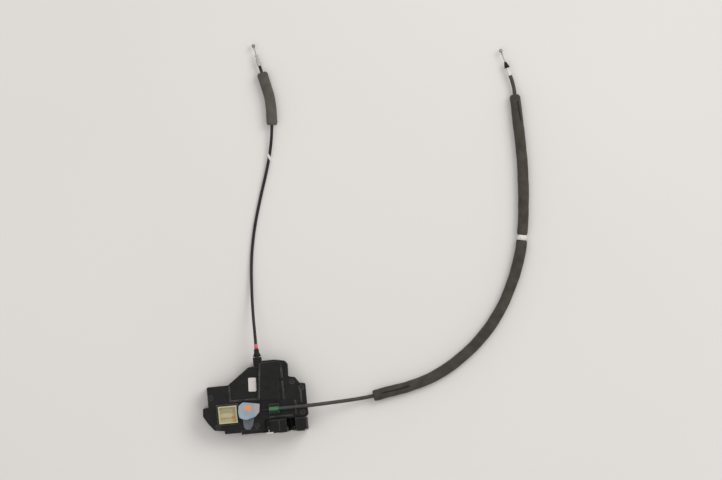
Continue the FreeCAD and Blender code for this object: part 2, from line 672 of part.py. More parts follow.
block_slot = slab("BlockSlot", rounded(slot_corners()), "plate_back - 5", "40", "xz")
spring_room_deep = "back_plate_face - back_plate_thick - 1.6 - plate_back - (%s)" % cavity_deep
claw_spring_room = rod("ClawSpringRoom", "8.4", "spring_wire * 3.9", "claw_x",
                       "plate_back + " + cavity_deep, "claw_z", "y")
pawl_spring_room = rod("PawlSpringRoom", "6.4", "spring_wire * 3.9", "pawl_x",
                       "plate_back + " + cavity_deep, "pawl_z", "y")
latch_pin_holes = [
    rod("ClawPinHole", "claw_pin_r", "40", "claw_x", "plate_back - 5", "claw_z", "y"),
    rod("PawlPinHole", "pawl_pin_r", "40", "pawl_x", "plate_back - 5", "pawl_z", "y"),
]
collar_rooms = [
    rod("CollarRoomA", "collar_r", "collar_long + 5", "hole_a_x", "plate_back", "hole_a_z", "y"),
    rod("CollarRoomB", "collar_r", "collar_long + 5", "hole_b_x", "plate_back", "hole_b_z", "y"),
]
bumper_room = box("BumperRoom", "slot_mid - 5", "plate_back + %s + 0.6" % cavity_deep, "slot_foot - 5",
                  "10", "7", "8")
solid("latch_housing", cut(
    "LatchHousing", latch_body, group("ActionCavities", claw_cavity), pawl_cavity, block_slot,
    claw_spring_room, pawl_spring_room, group("LatchPinHoles", *latch_pin_holes),
    group("CollarRooms", *collar_rooms), bumper_room,
))

# Rubber bumper at the foot of the slot

bumper_body = box("BumperBody", "slot_mid - 5", "plate_back + %s + 0.6" % cavity_deep, "slot_foot - 5",
                  "10", "7", "5.6")
bumper_dip = rod("BumperDip", "9", "12", "slot_mid", "plate_back + %s - 2" % cavity_deep,
                 "slot_foot + 8.6", "y")
solid("striker_bumper", cut("StrikerBumper", bumper_body, bumper_dip))

# Face plate with drawn and threaded collars, and the plain back plate

face_blank = slab(
    "FaceBlank",
    rounded([
        (S.plate_left, 4.0, S.plate_corner), (S.plate_left, 26.0, 4), (8.0, 44.0, 10),
        (S.hole_a_x - 8, S.latch_high, S.plate_corner), (S.hole_a_x + 4.2, S.latch_high, 1),
        (S.hole_a_x + 4.2, S.latch_high - 2.6, 1), (S.latch_right - 3, S.latch_high - 2.6, S.plate_corner),
        (S.latch_right, S.latch_high - 12, 4), (S.latch_right, 1.0, S.plate_corner), (18.0, 1.0, 8),
        (6.0, 4.0, 8),
    ]),
    "plate_back - plate_thick", "plate_thick", "xz",
)
collars = []
thread_bores = []
for letter in "abc":
    x = "hole_%s_x" % letter
    z = "hole_%s_z" % letter
    collars.append(rod("Collar" + letter, "collar_r", "collar_long + plate_thick / 2", x,
                       "plate_back - plate_thick / 2", z, "y"))
    thread_bores.append(rod("ThreadBore" + letter, "screw_hole_r", "20", x, "plate_back - 8", z, "y"))
plate_slot = slab("PlateSlot", rounded(slot_corners()), "plate_back - 6", "12", "xz")
face_body = joined("FaceBody", face_blank, *collars)
solid("face_plate", cut("FacePlate", face_body, plate_slot, group("ThreadBores", *thread_bores),
                        group("FacePinHoles", *[
                            rod("FaceClawHole", "claw_pin_r", "20", "claw_x", "plate_back - 8",
                                "claw_z", "y"),
                            rod("FacePawlHole", "pawl_pin_r", "20", "pawl_x", "plate_back - 8",
                                "pawl_z", "y")])))

back_blank = slab(
    "BackBlank",
    rounded([
        (S.latch_left + 2, 2.0, 4), (S.latch_left + 2, S.latch_high - 10, 6),
        (S.latch_left + 10, S.latch_high - 2, 6), (S.latch_right - 6, S.latch_high - 2, 6),
        (S.latch_right - 2, S.latch_high - 14, 6), (S.latch_right - 2, 2.0, 4),
    ]),
    "back_plate_face - back_plate_thick", "back_plate_thick", "xz",
)
back_slot = slab("BackSlot", rounded(slot_corners()), "back_plate_face - 6", "12", "xz")
solid("back_plate", cut("BackPlate", back_blank, back_slot, group("BackPinHoles", *[
    rod("BackClawHole", "claw_pin_r", "20", "claw_x", "back_plate_face - 8", "claw_z", "y"),
    rod("BackPawlHole", "pawl_pin_r", "20", "pawl_x", "back_plate_face - 8", "pawl_z", "y")])))

for label, name, radius, x, z in (
    ("claw_pin", "ClawPin", "claw_pin_r", "claw_x", "claw_z"),
    ("pawl_pin", "PawlPin", "pawl_pin_r", "pawl_x", "pawl_z"),
):
    front = "plate_back - plate_thick"
    pin = rod(name + "Shank", radius, "back_plate_face - (%s)" % front, x, front, z, "y")
    head = cone(name + "Head", "rivet_head - 1", "rivet_head", "rivet_head_thick", x,
                front + " - rivet_head_thick", z, "y")
    solid(label, joined(name, pin, head))

# Claw: a steel fork that turns on its pin and catches the striker, drawn latched, turned to open

claw_centre = (S.claw_x, S.claw_z)


def claw_corners(grow=0.0):
    """The claw's outline, its mouth along +X when latched, grown by a coat and turned to open."""
    reach = S.claw_reach + grow
    half = S.mouth_half - grow
    lip = math.degrees(math.asin(half / reach))
    waist = S.claw_waist + grow
    x, z = claw_centre
    corners = [
        (x + S.mouth_foot - grow, z + half, 3.5), (x + reach * math.cos(math.radians(lip)), z + half, 1.5),
        polar(claw_centre, reach, 30, 9), polar(claw_centre, reach, 48, 9), polar(claw_centre, reach, 62, 3),
        polar(claw_centre, waist + 3, 84, 5), polar(claw_centre, waist + 1.5, 125, 10),
        polar(claw_centre, waist + 1.5, 170, 10), polar(claw_centre, waist + 1.5, 215, 10),
        polar(claw_centre, waist + 3, -82, 5), polar(claw_centre, reach - 1, -74, 2),
        polar(claw_centre, reach, -60, 4), polar(claw_centre, reach, S.tooth_face - 2, 0.8),
        polar(claw_centre, S.claw_notch + grow, S.tooth_face, 0.8),
        polar(claw_centre, S.claw_notch + grow, -26, 1.2), polar(claw_centre, reach, -23, 0.8),
        (x + reach * math.cos(math.radians(lip)), z - half, 1.2), (x + S.mouth_foot - grow, z - half, 3.5),
    ]
    return [turned(corner, claw_centre, S.claw_swing) for corner in corners]


claw_blank = slab("ClawBlank", rounded(claw_corners()), "plate_back + side_gap + claw_coat", "claw_steel",
                  "xz")
claw_bore = rod("ClawBore", "claw_pin_r + pivot_gap", "20", "claw_x", "plate_back - 5", "claw_z", "y")
solid("claw", cut("Claw", claw_blank, claw_bore))
coat_blank = slab("CoatBlank", rounded(claw_corners(S.claw_coat)), "plate_back + side_gap",
                  "claw_steel + 2 * claw_coat", "xz")
coat_window = slab(
    "CoatWindow",
    rounded([
        turned(corner, claw_centre, S.claw_swing) for corner in (
            polar(claw_centre, S.claw_notch - 3, -88), polar(claw_centre, S.claw_reach + 6, -88),
            polar(claw_centre, S.claw_reach + 12, -52), polar(claw_centre, S.claw_reach + 6, -20),
            polar(claw_centre, S.claw_notch - 1, -25))
    ]),
    "plate_back - 5", "20", "xz",
)
coat_bore = rod("CoatBore", "claw_waist - 2", "20", "claw_x", "plate_back - 5", "claw_z", "y")
solid("claw_coat", cut("ClawCoat", coat_blank, claw_blank, coat_window, coat_bore))

# Pawl: drops behind the claw's tooth, drawn in the notch, turned to its lifted place

pawl_centre = (S.pawl_x, S.pawl_z)


def pawl_corners():
    """The pawl's outline: a round hub, an arm outside the claw's rim and a nose into its notch."""
    nose = S.claw_notch + S.nose_gap
    rim = S.claw_reach + S.claw_coat
    corners = [
        polar(claw_centre, nose, S.tooth_face + 1, 0.8), polar(claw_centre, nose, S.tooth_face + 14, 1),
        polar(claw_centre, rim + 0.6, S.tooth_face + 17.5, 3),
        polar(claw_centre, rim + 4, S.tooth_face + 25, 6),
    ]
    for degrees in (110, 55, 5, -45, -95):
        corners.append(polar(pawl_centre, S.pawl_hub + 0.6, degrees, 5))
    corners.append(polar(claw_centre, rim + 2.6, S.tooth_face - 1, 2))
    corners.append(polar(claw_centre, rim + 0.2, S.tooth_face - 1.5, 1))
    return [turned(corner, pawl_centre, S.pawl_lift) for corner in corners]


pawl_foot = "plate_back + side_gap + (claw_steel + 2 * claw_coat - pawl_thick) / 2"
pawl_blank = slab("PawlBlank", rounded(pawl_corners()), pawl_foot, "pawl_thick", "xz")
pawl_bore = rod("PawlBore", "pawl_pin_r + pivot_gap", "20", "pawl_x", "plate_back - 5", "pawl_z", "y")
solid("pawl", cut("Pawl", pawl_blank, pawl_bore))

# Return springs, coiled round the two pins behind the claw and pawl

solid("claw_spring", coil("ClawSpring", "claw_pin_r + spring_wire / 2 + 1.2", "spring_wire", "2.4",
                          "claw_x", "plate_back + %s + spring_wire * 0.6" % cavity_deep, "claw_z", "y"))
solid("pawl_spring", coil("PawlSpring", "pawl_pin_r + spring_wire / 2 + 0.6", "spring_wire", "2.4",
                          "pawl_x", "plate_back + %s + spring_wire * 0.6" % cavity_deep, "pawl_z", "y"))

# Motor: a can with flats, an end cap, terminals, and the shaft with its worm

can_round = rod("CanRound", "motor_r", "motor_long - 4", "motor_x", "motor_front", "motor_z", "y")
can_flats = box("CanFlats", "motor_x - motor_r", "motor_front", "motor_z - motor_flat",
                "2 * motor_r", "motor_long - 4", "2 * motor_flat")
can_common = shared("CanCommon", can_round, can_flats)
can_nose = rod("CanNose", "4", "1.6", "motor_x", "motor_front - 1.6", "motor_z", "y")
can_bore = rod("CanBore", "shaft_r + pivot_gap", "11.6", "motor_x", "motor_front - 2", "motor_z", "y")
solid("motor_can", cut("MotorCan", joined("CanBody", can_common, can_nose), can_bore))
cap_round = rod("CapRound", "motor_r", "4", "motor_x", "motor_front + motor_long - 4", "motor_z", "y")
cap_flats = box("CapFlats", "motor_x - motor_r", "motor_front + motor_long - 4", "motor_z - motor_flat",
                "2 * motor_r", "4", "2 * motor_flat")
end_cap = shared("EndCapRound", cap_round, cap_flats)
cap_slots = [
    box("CapSlot%d" % side, "motor_x + %s - 0.3" % place, "motor_front + motor_long - 3", "motor_z + 2",
        "0.6", "4", "3")
    for side, place in enumerate(("-6", "6"))
]
solid("motor_end_cap", cut("MotorEndCap", end_cap, group("CapSlots", *cap_slots)))
solid("motor_terminals", group("MotorTerminals", *[
    box("MotorTerminal%d" % side, "motor_x + %s - 0.3" % place, "motor_front + motor_long - 3",
        "motor_z + 2", "0.6", "4.2", "3")
    for side, place in enumerate(("-6", "6"))
]))

worm_foot = "motor_front - 3 - worm_long"
shaft = rod("Shaft", "shaft_r", "worm_long + 14", "motor_x", worm_foot + " - 2.6", "motor_z", "y")
core = rod("WormCore", "worm_pitch_r - 1.25 * wheel_module", "worm_long", "motor_x", worm_foot,
           "motor_z", "y")
thread_line = doc.addObject("Part::Helix", "ThreadLine")
bind(thread_line, Pitch="pi * wheel_module", Height="5 * pi * wheel_module",
     Radius="worm_pitch_r")
thread_section = doc.addObject("Sketcher::SketchObject", "ThreadSection")
half_root = math.pi * S.wheel_module / 4 - S.mesh_gap / 2 + 1.45 * S.wheel_module * math.tan(math.radians(20))
half_tip = math.pi * S.wheel_module / 4 - S.mesh_gap / 2 - 0.9 * S.wheel_module * math.tan(math.radians(20))
root_r = S.worm_pitch_r - 1.45 * S.wheel_module
tip_r = S.worm_pitch_r + 0.9 * S.wheel_module
thread_section.addGeometry(rounded([
    (root_r, -half_root), (tip_r, -half_tip), (tip_r, half_tip), (root_r, half_root)]), False)
thread_section.Placement = FreeCAD.Placement(FreeCAD.Vector(), FreeCAD.Rotation(X_AXIS, 90))
thread_sweep = doc.addObject("Part::Sweep", "ThreadSweep")
thread_sweep.Sections = [thread_section]
thread_sweep.Spine = (thread_line, [])
thread_sweep.Solid = True
thread_sweep.Frenet = True
seat(thread_sweep, "motor_x", "wheel_y - 2 * pi * wheel_module", "motor_z", TURNED["y"])
solid("worm", joined("Worm", shaft, core, thread_sweep))

# Worm wheel with its small pinion, and the lock lever with its toothed sector

wheel_centre = (S.motor_x - S.worm_pitch_r - S.wheel_module * S.wheel_teeth / 2, S.wheel_y)
lock_centre = (wheel_centre[0] - S.pinion_module * (S.pinion_teeth + S.sector_teeth) / 2, S.wheel_y)
WHEEL_START = 0.0
wheel_rim = slab(
    "WheelRim",
    rounded(gear_corners(wheel_centre, S.wheel_module, S.wheel_teeth, 0.8 * S.wheel_module, S.mesh_gap * 1.6,
                         WHEEL_START, 0, int(S.wheel_teeth))),
    wheel_foot, "wheel_wide",
)
pinion = slab(
    "Pinion",
    rounded(gear_corners(wheel_centre, S.pinion_module, S.pinion_teeth, 0.9 * S.pinion_module, S.mesh_gap,
                         180.0, 0, int(S.pinion_teeth))),
    "motor_z + wheel_wide / 2", "pinion_high",
)
wheel_bore = rod("WheelBore", "wheel_pin_r + pivot_gap", "40", wheel_x, "wheel_y", "0")
solid("worm_wheel", cut("WormWheel", joined("WheelBody", wheel_rim, pinion), wheel_bore))
sector_start = 180.0 / S.sector_teeth
sector_low = -1
sector_high = 4
sector = gear_corners(lock_centre, S.pinion_module, S.sector_teeth, 0.8 * S.pinion_module, S.mesh_gap,
                      sector_start, sector_low, sector_high)
lock_foot = "motor_z + wheel_wide / 2 + 1"
lock_corners = [tuple(corner) for corner in sector]
lock_corners += [
    polar(lock_centre, 8.0, 75, 4), polar(lock_centre, 8.0, 130, 5), polar(lock_centre, 8.0, 180, 4),
    polar(lock_centre, 22.0, 226, 3), polar(lock_centre, 22.0, 244, 3), polar(lock_centre, 8.0, 290, 3),
    polar(lock_centre, 14.0, -22, 2),
]
lock_plate = slab("LockPlate", rounded(lock_corners), lock_foot, "lock_thick")
lock_bore = rod("LockBore", "lock_pin_r + pivot_gap", "40", lock_x, "wheel_y", "0")
lock_peg = rod("LockPeg", "2", "lock_thick + 3",
               lock_x + " + 19 * cos(235)", "wheel_y + 19 * sin(235)", lock_foot)
solid("lock_lever", cut("LockLever", joined("LockBody", lock_plate, lock_peg), lock_bore))
solid("wheel_axle", rod("WheelAxle", "wheel_pin_r", "motor_z + wheel_wide / 2 + pinion_high + 0.6 - floor_thick",
                        wheel_x, "wheel_y", "floor_thick"))
solid("lock_axle", rod("LockAxle", "lock_pin_r", lock_foot + " + lock_thick + 0.3 - floor_thick",
                       lock_x, "wheel_y", "floor_thick"))

# Inside release lever, its axle and its pull wire

inner_centre = (S.inner_x, S.inner_y)
inner_rest = -S.inner_swing / 2
inner_plate = slab(
    "InnerPlate",
    rounded([
        polar(inner_centre, 6.4, inner_rest + 62, 3), polar(inner_centre, S.inner_arm + 3, inner_rest + 14, 3),
        polar(inner_centre, S.inner_arm + 3, inner_rest - 12, 3), polar(inner_centre, 6.4, inner_rest - 55, 3),
        polar(inner_centre, 14.0, inner_rest - 95, 2), polar(inner_centre, 14.0, inner_rest - 125, 2),
        polar(inner_centre, 6.8, inner_rest - 165, 4), polar(inner_centre, 6.8, inner_rest + 140, 4),
        polar(inner_centre, 6.8, inner_rest + 100, 3),
    ]),
    "inner_foot", "inner_thick",
)
inner_bore = rod("InnerBore", "lock_pin_r + pivot_gap", "40", "inner_x", "inner_y", "0")
solid("inside_lever", cut("InsideLever", inner_plate, inner_bore))
inner_pin = rod("InnerPin", "lock_pin_r", "inner_foot + inner_thick + 0.4 - floor_thick", "inner_x", "inner_y",
                "floor_thick")
inner_collar = rod("InnerCollar", "lock_pin_r + 1.6", "0.8", "inner_x", "inner_y",
                   "inner_foot + inner_thick + 0.3")
inner_foot_collar = rod("InnerFootCollar", "lock_pin_r + 1.6", "3.3", "inner_x", "inner_y",
                        "inner_foot - 3.6")
solid("inside_lever_axle", joined("InsideLeverAxle", inner_pin, inner_collar, inner_foot_collar))
nipple_at = inner_exit - boot_way * (S.boot_long + 22.5)
nipple = rod("InnerNipple", "2.2", "3.0", str(nipple_at.x), str(nipple_at.y),
             "inner_foot + inner_thick + 0.3")
inner_near = rod("InnerNearRod", "wire_r", "22.5 + 8", str(nipple_at.x), str(nipple_at.y),
                 "inner_cable_z", boot_turn)
solid("inside_wire", joined("InsideWire", nipple, inner_near))
boot_body = rod("BootBody", "boot_r", "boot_long", str(boot_foot.x), str(boot_foot.y), "inner_cable_z",
                boot_turn)
flare_at = inner_exit - boot_way * (inner_exit.y - S.snout_end - 0.9)
boot_flare = cone("BootFlare", "boot_r + 2.9", "boot_r", "6.5", str(flare_at.x), str(flare_at.y),
                  "inner_cable_z", boot_turn)
wire_bore = rod("BootWireBore", "wire_r + wire_gap", "boot_long - 3", str(boot_foot.x), str(boot_foot.y),
                "inner_cable_z", boot_turn)
solid("inside_cable_ferrule", cut("InsideCableFerrule", joined("BootWhole", boot_body, boot_flare),
                                  wire_bore))

# Outside release lever on the cover, with its cable cap, shaft, pull wire and ferrule

lever_foot = "cover_top + outer_gap"
lever_top = lever_foot + " + outer_thick"
outer_centre = (S.outer_x, S.outer_y)
outer_plate = slab(
    "OuterPlate",
    rounded([
        (-21.2, -36.6, 2), (-24.6, -29.3, 3), (-24.2, -16.3, 4), (-17.3, -11.5, 4), (-4.4, -13.1, 4),
        (-1.6, -20.4, 4), (-3.7, -36.3, 4), (-5.8, -46.1, 3), (-10.3, -52.4, 3), (-16.7, -52.2, 4),
        (-20.3, -48.4, 3),
    ]),
    lever_foot, "outer_thick",
)
outer_bore = rod("OuterBore", "lock_pin_r", "40", "outer_x", "outer_y", "base_top")
outer_post = rod("OuterPost", "3.4", "outer_cable_z - 1.8 - (%s)" % lever_top, "ferrule_x - 35",
                 "ferrule_y", lever_top)
solid("outside_lever", cut("OutsideLever", joined("OuterBody", outer_plate, outer_post), outer_bore))
solid("outside_lever_shaft", joined(
    "OutsideLeverShaft",
    rod("OuterShaft", "lock_pin_r - pivot_gap", lever_foot + " - floor_thick", "outer_x", "outer_y",
        "floor_thick"),
    rod("OuterShaftTop", "lock_pin_r", "outer_thick", "outer_x", "outer_y", lever_foot),
    rod("OuterShaftHead", "lock_pin_r + 2", "1.4", "outer_x", "outer_y", lever_top),
))
cap_edges = rounded([
    (-18.9, -7.6, 3), (-6.4, -9.6, 20), (8.2, -12.2, 2), (6.2, -25.7, 3), (-0.9, -32.5, 4),
    (-15.3, -36.4, 5), (-26.4, -32.3, 5), (-27.7, -22.4, 12), (-26.2, -12.6, 5),
])
cap_outer = slab("CapOuter", cap_edges, lever_top, "cap_high")
cap_soft = softened("CapSoft", cap_outer, 1.2)
cap_inner = inset("CapInner", doc.getObject("CapOuterOutline"), "cap_wall", "-0.001",
                  "cap_high - cap_wall + 0.001")
cap_notch = box("CapNotch", "1", "-26.3", lever_top + " - 1", "12", "14.6", "cap_high - cap_wall + 1 - 1.2")
cap_solid = cut("CapSolid", cap_soft, cap_inner, cap_notch)
cap_ribs = joined(
    "CapRibs",
    box("CapStub0", "-24.2", "-21", lever_top, "4", "3", "cap_high - cap_wall / 2"),
    box("CapStub1", "-10", "-34", lever_top, "3", "7", "cap_high - cap_wall / 2"),
)
solid("cable_cap", joined("CableCap", cap_solid, cap_ribs))
outer_nipple = rod("OuterNipple", "2.2", "3.6", "ferrule_x - 35", "ferrule_y", "outer_cable_z - 1.6")
outer_near = rod("OuterNearRod", "wire_r", "35 + 4", "ferrule_x - 35", "ferrule_y", "outer_cable_z", "x")
solid("outside_wire", joined("OutsideWire", outer_nipple, outer_near))
ferrule_body = rod("FerruleBody", "ferrule_r", "ferrule_long", "ferrule_x", "ferrule_y", "outer_cable_z",
                   "x")
ferrule_bore = rod("FerruleBore", "wire_r + wire_gap", "ferrule_long - 1.6", "ferrule_x", "ferrule_y",
                   "outer_cable_z", "x")
solid("outside_cable_ferrule", cut("OutsideCableFerrule", ferrule_body, ferrule_bore))

# Connector, with its blades and the strips that lead to the motor and the switch

plug_block = box("PlugBlock", "plug_left", "plug_front", "base_top", "plug_wide", "plug_deep",
                 "plug_top - base_top")
plug_well_box = box("PlugWell", "plug_left + plug_wall", "plug_front + plug_wall", "plug_top - plug_well",
                    "plug_wide - 2 * plug_wall", "plug_deep - 2 * plug_wall", "plug_well")
plug_under = box("PlugUnder", "plug_left + plug_wall", "plug_front + plug_wall", "base_top - 1",
                 "plug_wide - 2 * plug_wall", "plug_deep - 2 * plug_wall",
                 "plug_top - plug_well - 2.2 - base_top + 1")
blades = []
blade_holes = []
for row in range(2):
    for column in range(5):
        x = "plug_left + plug_wide / 2 + (%d - 2) * blade_pitch - blade_wide / 2" % column
        y = "plug_front + plug_deep / 2 + (%d * 2 - 1) * 5 - blade_thick / 2" % row
        at = row * 5 + column
        for kept, kind in ((blades, "Blade"), (blade_holes, "BladeHole")):
            kept.append(box("%s%d" % (kind, at), x, y, "base_top - 6", "blade_wide", "blade_thick",
                            "plug_top - plug_well + 3.4 - base_top + 6"))
solid("connector", cut("Connector", plug_block, plug_well_box, plug_under,
                       group("BladeHoles", *blade_holes)))
solid("connector_blades", group("ConnectorBlades", *blades))
carrier_plate = box("CarrierPlate", "plug_left + 1", "plug_front + 2", "base_top - 8", "plug_wide - 2",
                    "plug_deep - 4", "2")
carrier_feet = [
    box("CarrierFoot%d" % at, "plug_left + %s" % x, "plug_front + %s" % y, "floor_thick", "3", "3",
        "base_top - 8 - floor_thick")
    for at, (x, y) in enumerate((("3", "4"), ("25", "4"), ("3", "22"), ("25", "22")))
]
solid("contact_carrier", joined("ContactCarrier", carrier_plate, *carrier_feet))

# Position switch beside the worm wheel

switch_body = box("SwitchBody", "-10", "-10.0", "floor_thick", "20", "6.6", "9.4")
switch_button = box("SwitchButton", "-2", "-7.9", "floor_thick + 9.4", "3", "2.4", "1.4")
solid("position_switch", switch_body)
solid("switch_button", switch_button)

# Cables: conduits, foam sleeves, end fittings and pull wires

inner_edges, inner_radii = route_edges(INNER_ROUTE)
outer_edges, outer_radii = route_edges(OUTER_ROUTE)
print("inside cable radii", [round(radius) for radius in inner_radii])
print("outside cable radii", [round(radius) for radius in outer_radii])
inner_long = sum(edge.Length for edge in inner_edges)
outer_long = sum(edge.Length for edge in outer_edges)
print("inside cable %.1f mm, outside cable %.1f mm" % (inner_long, outer_long))
pipe("inside_conduit", inner_edges, S.inner_conduit_r)
pipe("outside_conduit", outer_edges, S.outer_conduit_r)
pipe("inside_foam", stretch(inner_edges, S.inner_foam_start, S.inner_foam_start + S.inner_foam_long),
     S.foam_r, S.inner_conduit_r + S.foam_gap)
lower_end = S.outer_foam_start + S.lower_foam_long
pipe("lower_foam", stretch(outer_edges, S.outer_foam_start, lower_end), S.foam_r,
     S.outer_conduit_r + S.foam_gap)
upper_start = lower_end + S.foam_split
pipe("upper_foam", stretch(outer_edges, upper_start, upper_start + S.upper_foam_long), S.foam_r,
     S.outer_conduit_r + S.foam_gap)


def far_end(side, route, fitting_long, wire_out, seal_long):
    """The fitting on a cable's far end, its seal if it has one, and the wire with its ball."""
    end = FreeCAD.Vector(*route[-1])
    way = (end - FreeCAD.Vector(*route[-2])).normalize()
    turn = FreeCAD.Rotation(Z_AXIS, way)
    tag = side.title()

    def along(name, radius, start, long, last=None):
        """A round piece on the cable's own line."""
        at = end + way * start
        if last is None:
            return rod(tag + name, radius, long, str(at.x), str(at.y), str(at.z), turn)
        return cone(tag + name, radius, last, long, str(at.x), str(at.y), str(at.z), turn)

    barrel = along("Barrel", "fitting_r + 0.3", 0.0, "%s * 0.6" % fitting_long)
    neck = along("Neck", "fitting_r - 0.9", 0.0, fitting_long)
    rim = along("Rim", "fitting_r - 0.1", float(sheet.get(fitting_long)) - 2.2, "2.2")
    bore = along("FittingBore", "wire_r + wire_gap", 1.0, fitting_long)
    solid(side + "_end_fitting", cut(tag + "EndFitting", joined(tag + "Fitting", barrel, neck, rim), bore))
    reach = float(sheet.get(fitting_long))
    if seal_long:
        seal = along("Seal", "fitting_r + 1.5", reach, seal_long, "1.7")
        seal_bore = along("SealBore", "wire_r + wire_gap", reach - 1, "%s + 2" % seal_long)
        solid(side + "_end_seal", cut(tag + "EndSeal", seal, seal_bore))
        reach += float(sheet.get(seal_long))
    stub = 11.0
    out = float(sheet.get(wire_out))
    wire = along("Wire", "wire_r", reach - stub, "%s + %s" % (stub, wire_out))
    crimp = along("Crimp", "wire_r + 0.7", reach + out - 6, "4")
    ball = doc.addObject("Part::Sphere", tag + "Ball")
    bind(ball, Radius="ball_r")
    at = end + way * (reach + out)
    seat(ball, str(at.x), str(at.y), str(at.z))
    solid(side + "_pull_wire", joined(tag + "PullWire", wire, crimp, ball))
    return way


inner_way = far_end("inside", INNER_ROUTE, "inner_fitting_long", "inner_wire_out", None)
outer_way = far_end("outside", OUTER_ROUTE, "outer_fitting_long", "outer_wire_out", "seal_long")
print("far end directions", inner_way, outer_way)

# Every feature is checked before any file is written

doc.recompute()
faults = []
for thing in doc.Objects:
    if "Invalid" in thing.State or "Error" in thing.State:
        faults.append("%s is %s" % (thing.Name, thing.State))
for label, thing in nodes.items():
    if thing.Shape.isNull() or not thing.Shape.isValid() or not thing.Shape.Solids:
        faults.append("%s has no valid shape" % label)
if faults:
    raise RuntimeError("; ".join(faults))
os.makedirs("parts", exist_ok=True)
for label, thing in nodes.items():
    thing.Shape.exportStep("parts/%s.step" % label)
    print(label, len(thing.Shape.Solids), "solids, %.0f mm3" % thing.Shape.Volume)
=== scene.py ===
"""Looks of a vehicle front door latch with its lock actuator and two pull cables."""
import math

import bpy
import numpy as np
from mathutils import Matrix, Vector


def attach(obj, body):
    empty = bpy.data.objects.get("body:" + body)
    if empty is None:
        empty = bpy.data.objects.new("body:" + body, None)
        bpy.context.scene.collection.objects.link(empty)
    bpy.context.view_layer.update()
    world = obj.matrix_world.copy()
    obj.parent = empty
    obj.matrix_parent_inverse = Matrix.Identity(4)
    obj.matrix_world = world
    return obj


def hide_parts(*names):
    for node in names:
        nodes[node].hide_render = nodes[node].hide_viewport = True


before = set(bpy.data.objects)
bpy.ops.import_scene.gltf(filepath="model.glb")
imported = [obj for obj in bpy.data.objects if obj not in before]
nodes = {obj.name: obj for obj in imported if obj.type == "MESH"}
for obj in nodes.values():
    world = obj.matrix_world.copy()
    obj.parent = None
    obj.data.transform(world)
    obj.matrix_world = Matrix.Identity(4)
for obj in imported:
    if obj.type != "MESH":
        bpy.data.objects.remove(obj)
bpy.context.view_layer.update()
MM = 0.001

# Camera, straight above the middle of the photograph's view, and so far off that the view is
# nearly parallel. The latch lies 5.3 degrees askew in the photograph, so the camera is turned
# by as much. The height and the width of the view are in metres.

CAMERA_HIGH = 20.0
CAMERA_TURN = -5.3
VIEW_WIDE = 1.155
SENSOR_WIDE = 36.0

eye = bpy.data.cameras.new("overhead")
eye.sensor_width = SENSOR_WIDE
eye.lens = SENSOR_WIDE * CAMERA_HIGH / VIEW_WIDE
camera = bpy.data.objects.new("overhead", eye)
camera.location = (0.1932, 0.2331, CAMERA_HIGH)
camera.rotation_euler = (0, 0, math.radians(CAMERA_TURN))
bpy.context.scene.collection.objects.link(camera)
bpy.context.scene.camera = camera
bpy.context.scene.view_settings.view_transform = "Standard"


# Materials

# The sockets of a Mix node that mixes colours: its share, its two colours and its result
SHARE, FIRST, SECOND, MIXED = 0, 6, 7, 2
# Nearly all of a noise's values lie between these two
NOISE_LOW, NOISE_HIGH = 0.3, 0.7
# Rays that read how an edge is rounded
EDGE_SAMPLES = 6


def hue(code):
    """An sRGB hex colour as linear red, green, blue and alpha, by the standard's curve."""
    parts = [int(code[at:at + 2], 16) / 255 for at in (1, 3, 5)]
    return [c / 12.92 if c <= 0.04045 else ((c + 0.055) / 1.055) ** 2.4 for c in parts] + [1.0]


def add(tree, kind, inputs=None, **settings):
    """Adds a node, sets it, and fills its inputs with values or with other nodes' outputs."""
    node = tree.nodes.new(kind)
    for name, value in settings.items():
        setattr(node, name, value)
    for name, value in (inputs or {}).items():
        if isinstance(value, bpy.types.NodeSocket):
            tree.links.new(value, node.inputs[name])
        else:
            node.inputs[name].default_value = value
    return node


def surface(name):
    """An empty material with its tree, its shader and the object's own coordinates."""
    material = bpy.data.materials.new(name)
    material.use_nodes = True
    tree = material.node_tree
    tree.nodes.clear()
    shader = add(tree, "ShaderNodeBsdfPrincipled")
    add(tree, "ShaderNodeOutputMaterial", {"Surface": shader.outputs["BSDF"]})
    place = add(tree, "ShaderNodeTexCoord").outputs["Object"]
    return material, tree, shader, place


def blotches(tree, place, size_mm, low, high, detail=3.0):
    """A soft noise whose patches are about size_mm across, spread from low to high."""
    noise = add(tree, "ShaderNodeTexNoise", {
        "Vector": place, "Scale": 1000 / size_mm, "Detail": detail})
    return add(tree, "ShaderNodeMapRange", {
        "Value": noise.outputs["Fac"], "From Min": NOISE_LOW, "From Max": NOISE_HIGH,
        "To Min": low, "To Max": high}).outputs["Result"]


def edge_mask(tree, rounded):
    """Near 1 along sharp edges and 0 on flats: the dot product of the rounded normal and the
    flat one, which falls from 0.995 to 0.8 there."""
    flat = add(tree, "ShaderNodeNewGeometry").outputs["Normal"]
    match = add(tree, "ShaderNodeVectorMath", {0: rounded, 1: flat}, operation="DOT_PRODUCT")
    return add(tree, "ShaderNodeMapRange", {
        "Value": match.outputs["Value"], "From Min": 0.995, "From Max": 0.8,
        "To Min": 0.0, "To Max": 1.0}).outputs["Result"]


def beyond(tree, place, at_mm, soft_mm):
    """0 before a place on X and 1 past it, with a ramp of soft_mm between."""
    along = add(tree, "ShaderNodeSeparateXYZ", {"Vector": place}).outputs["X"]
    return add(tree, "ShaderNodeMapRange", {
        "Value": along, "From Min": at_mm * MM, "From Max": (at_mm + soft_mm) * MM,
    }).outputs["Result"]


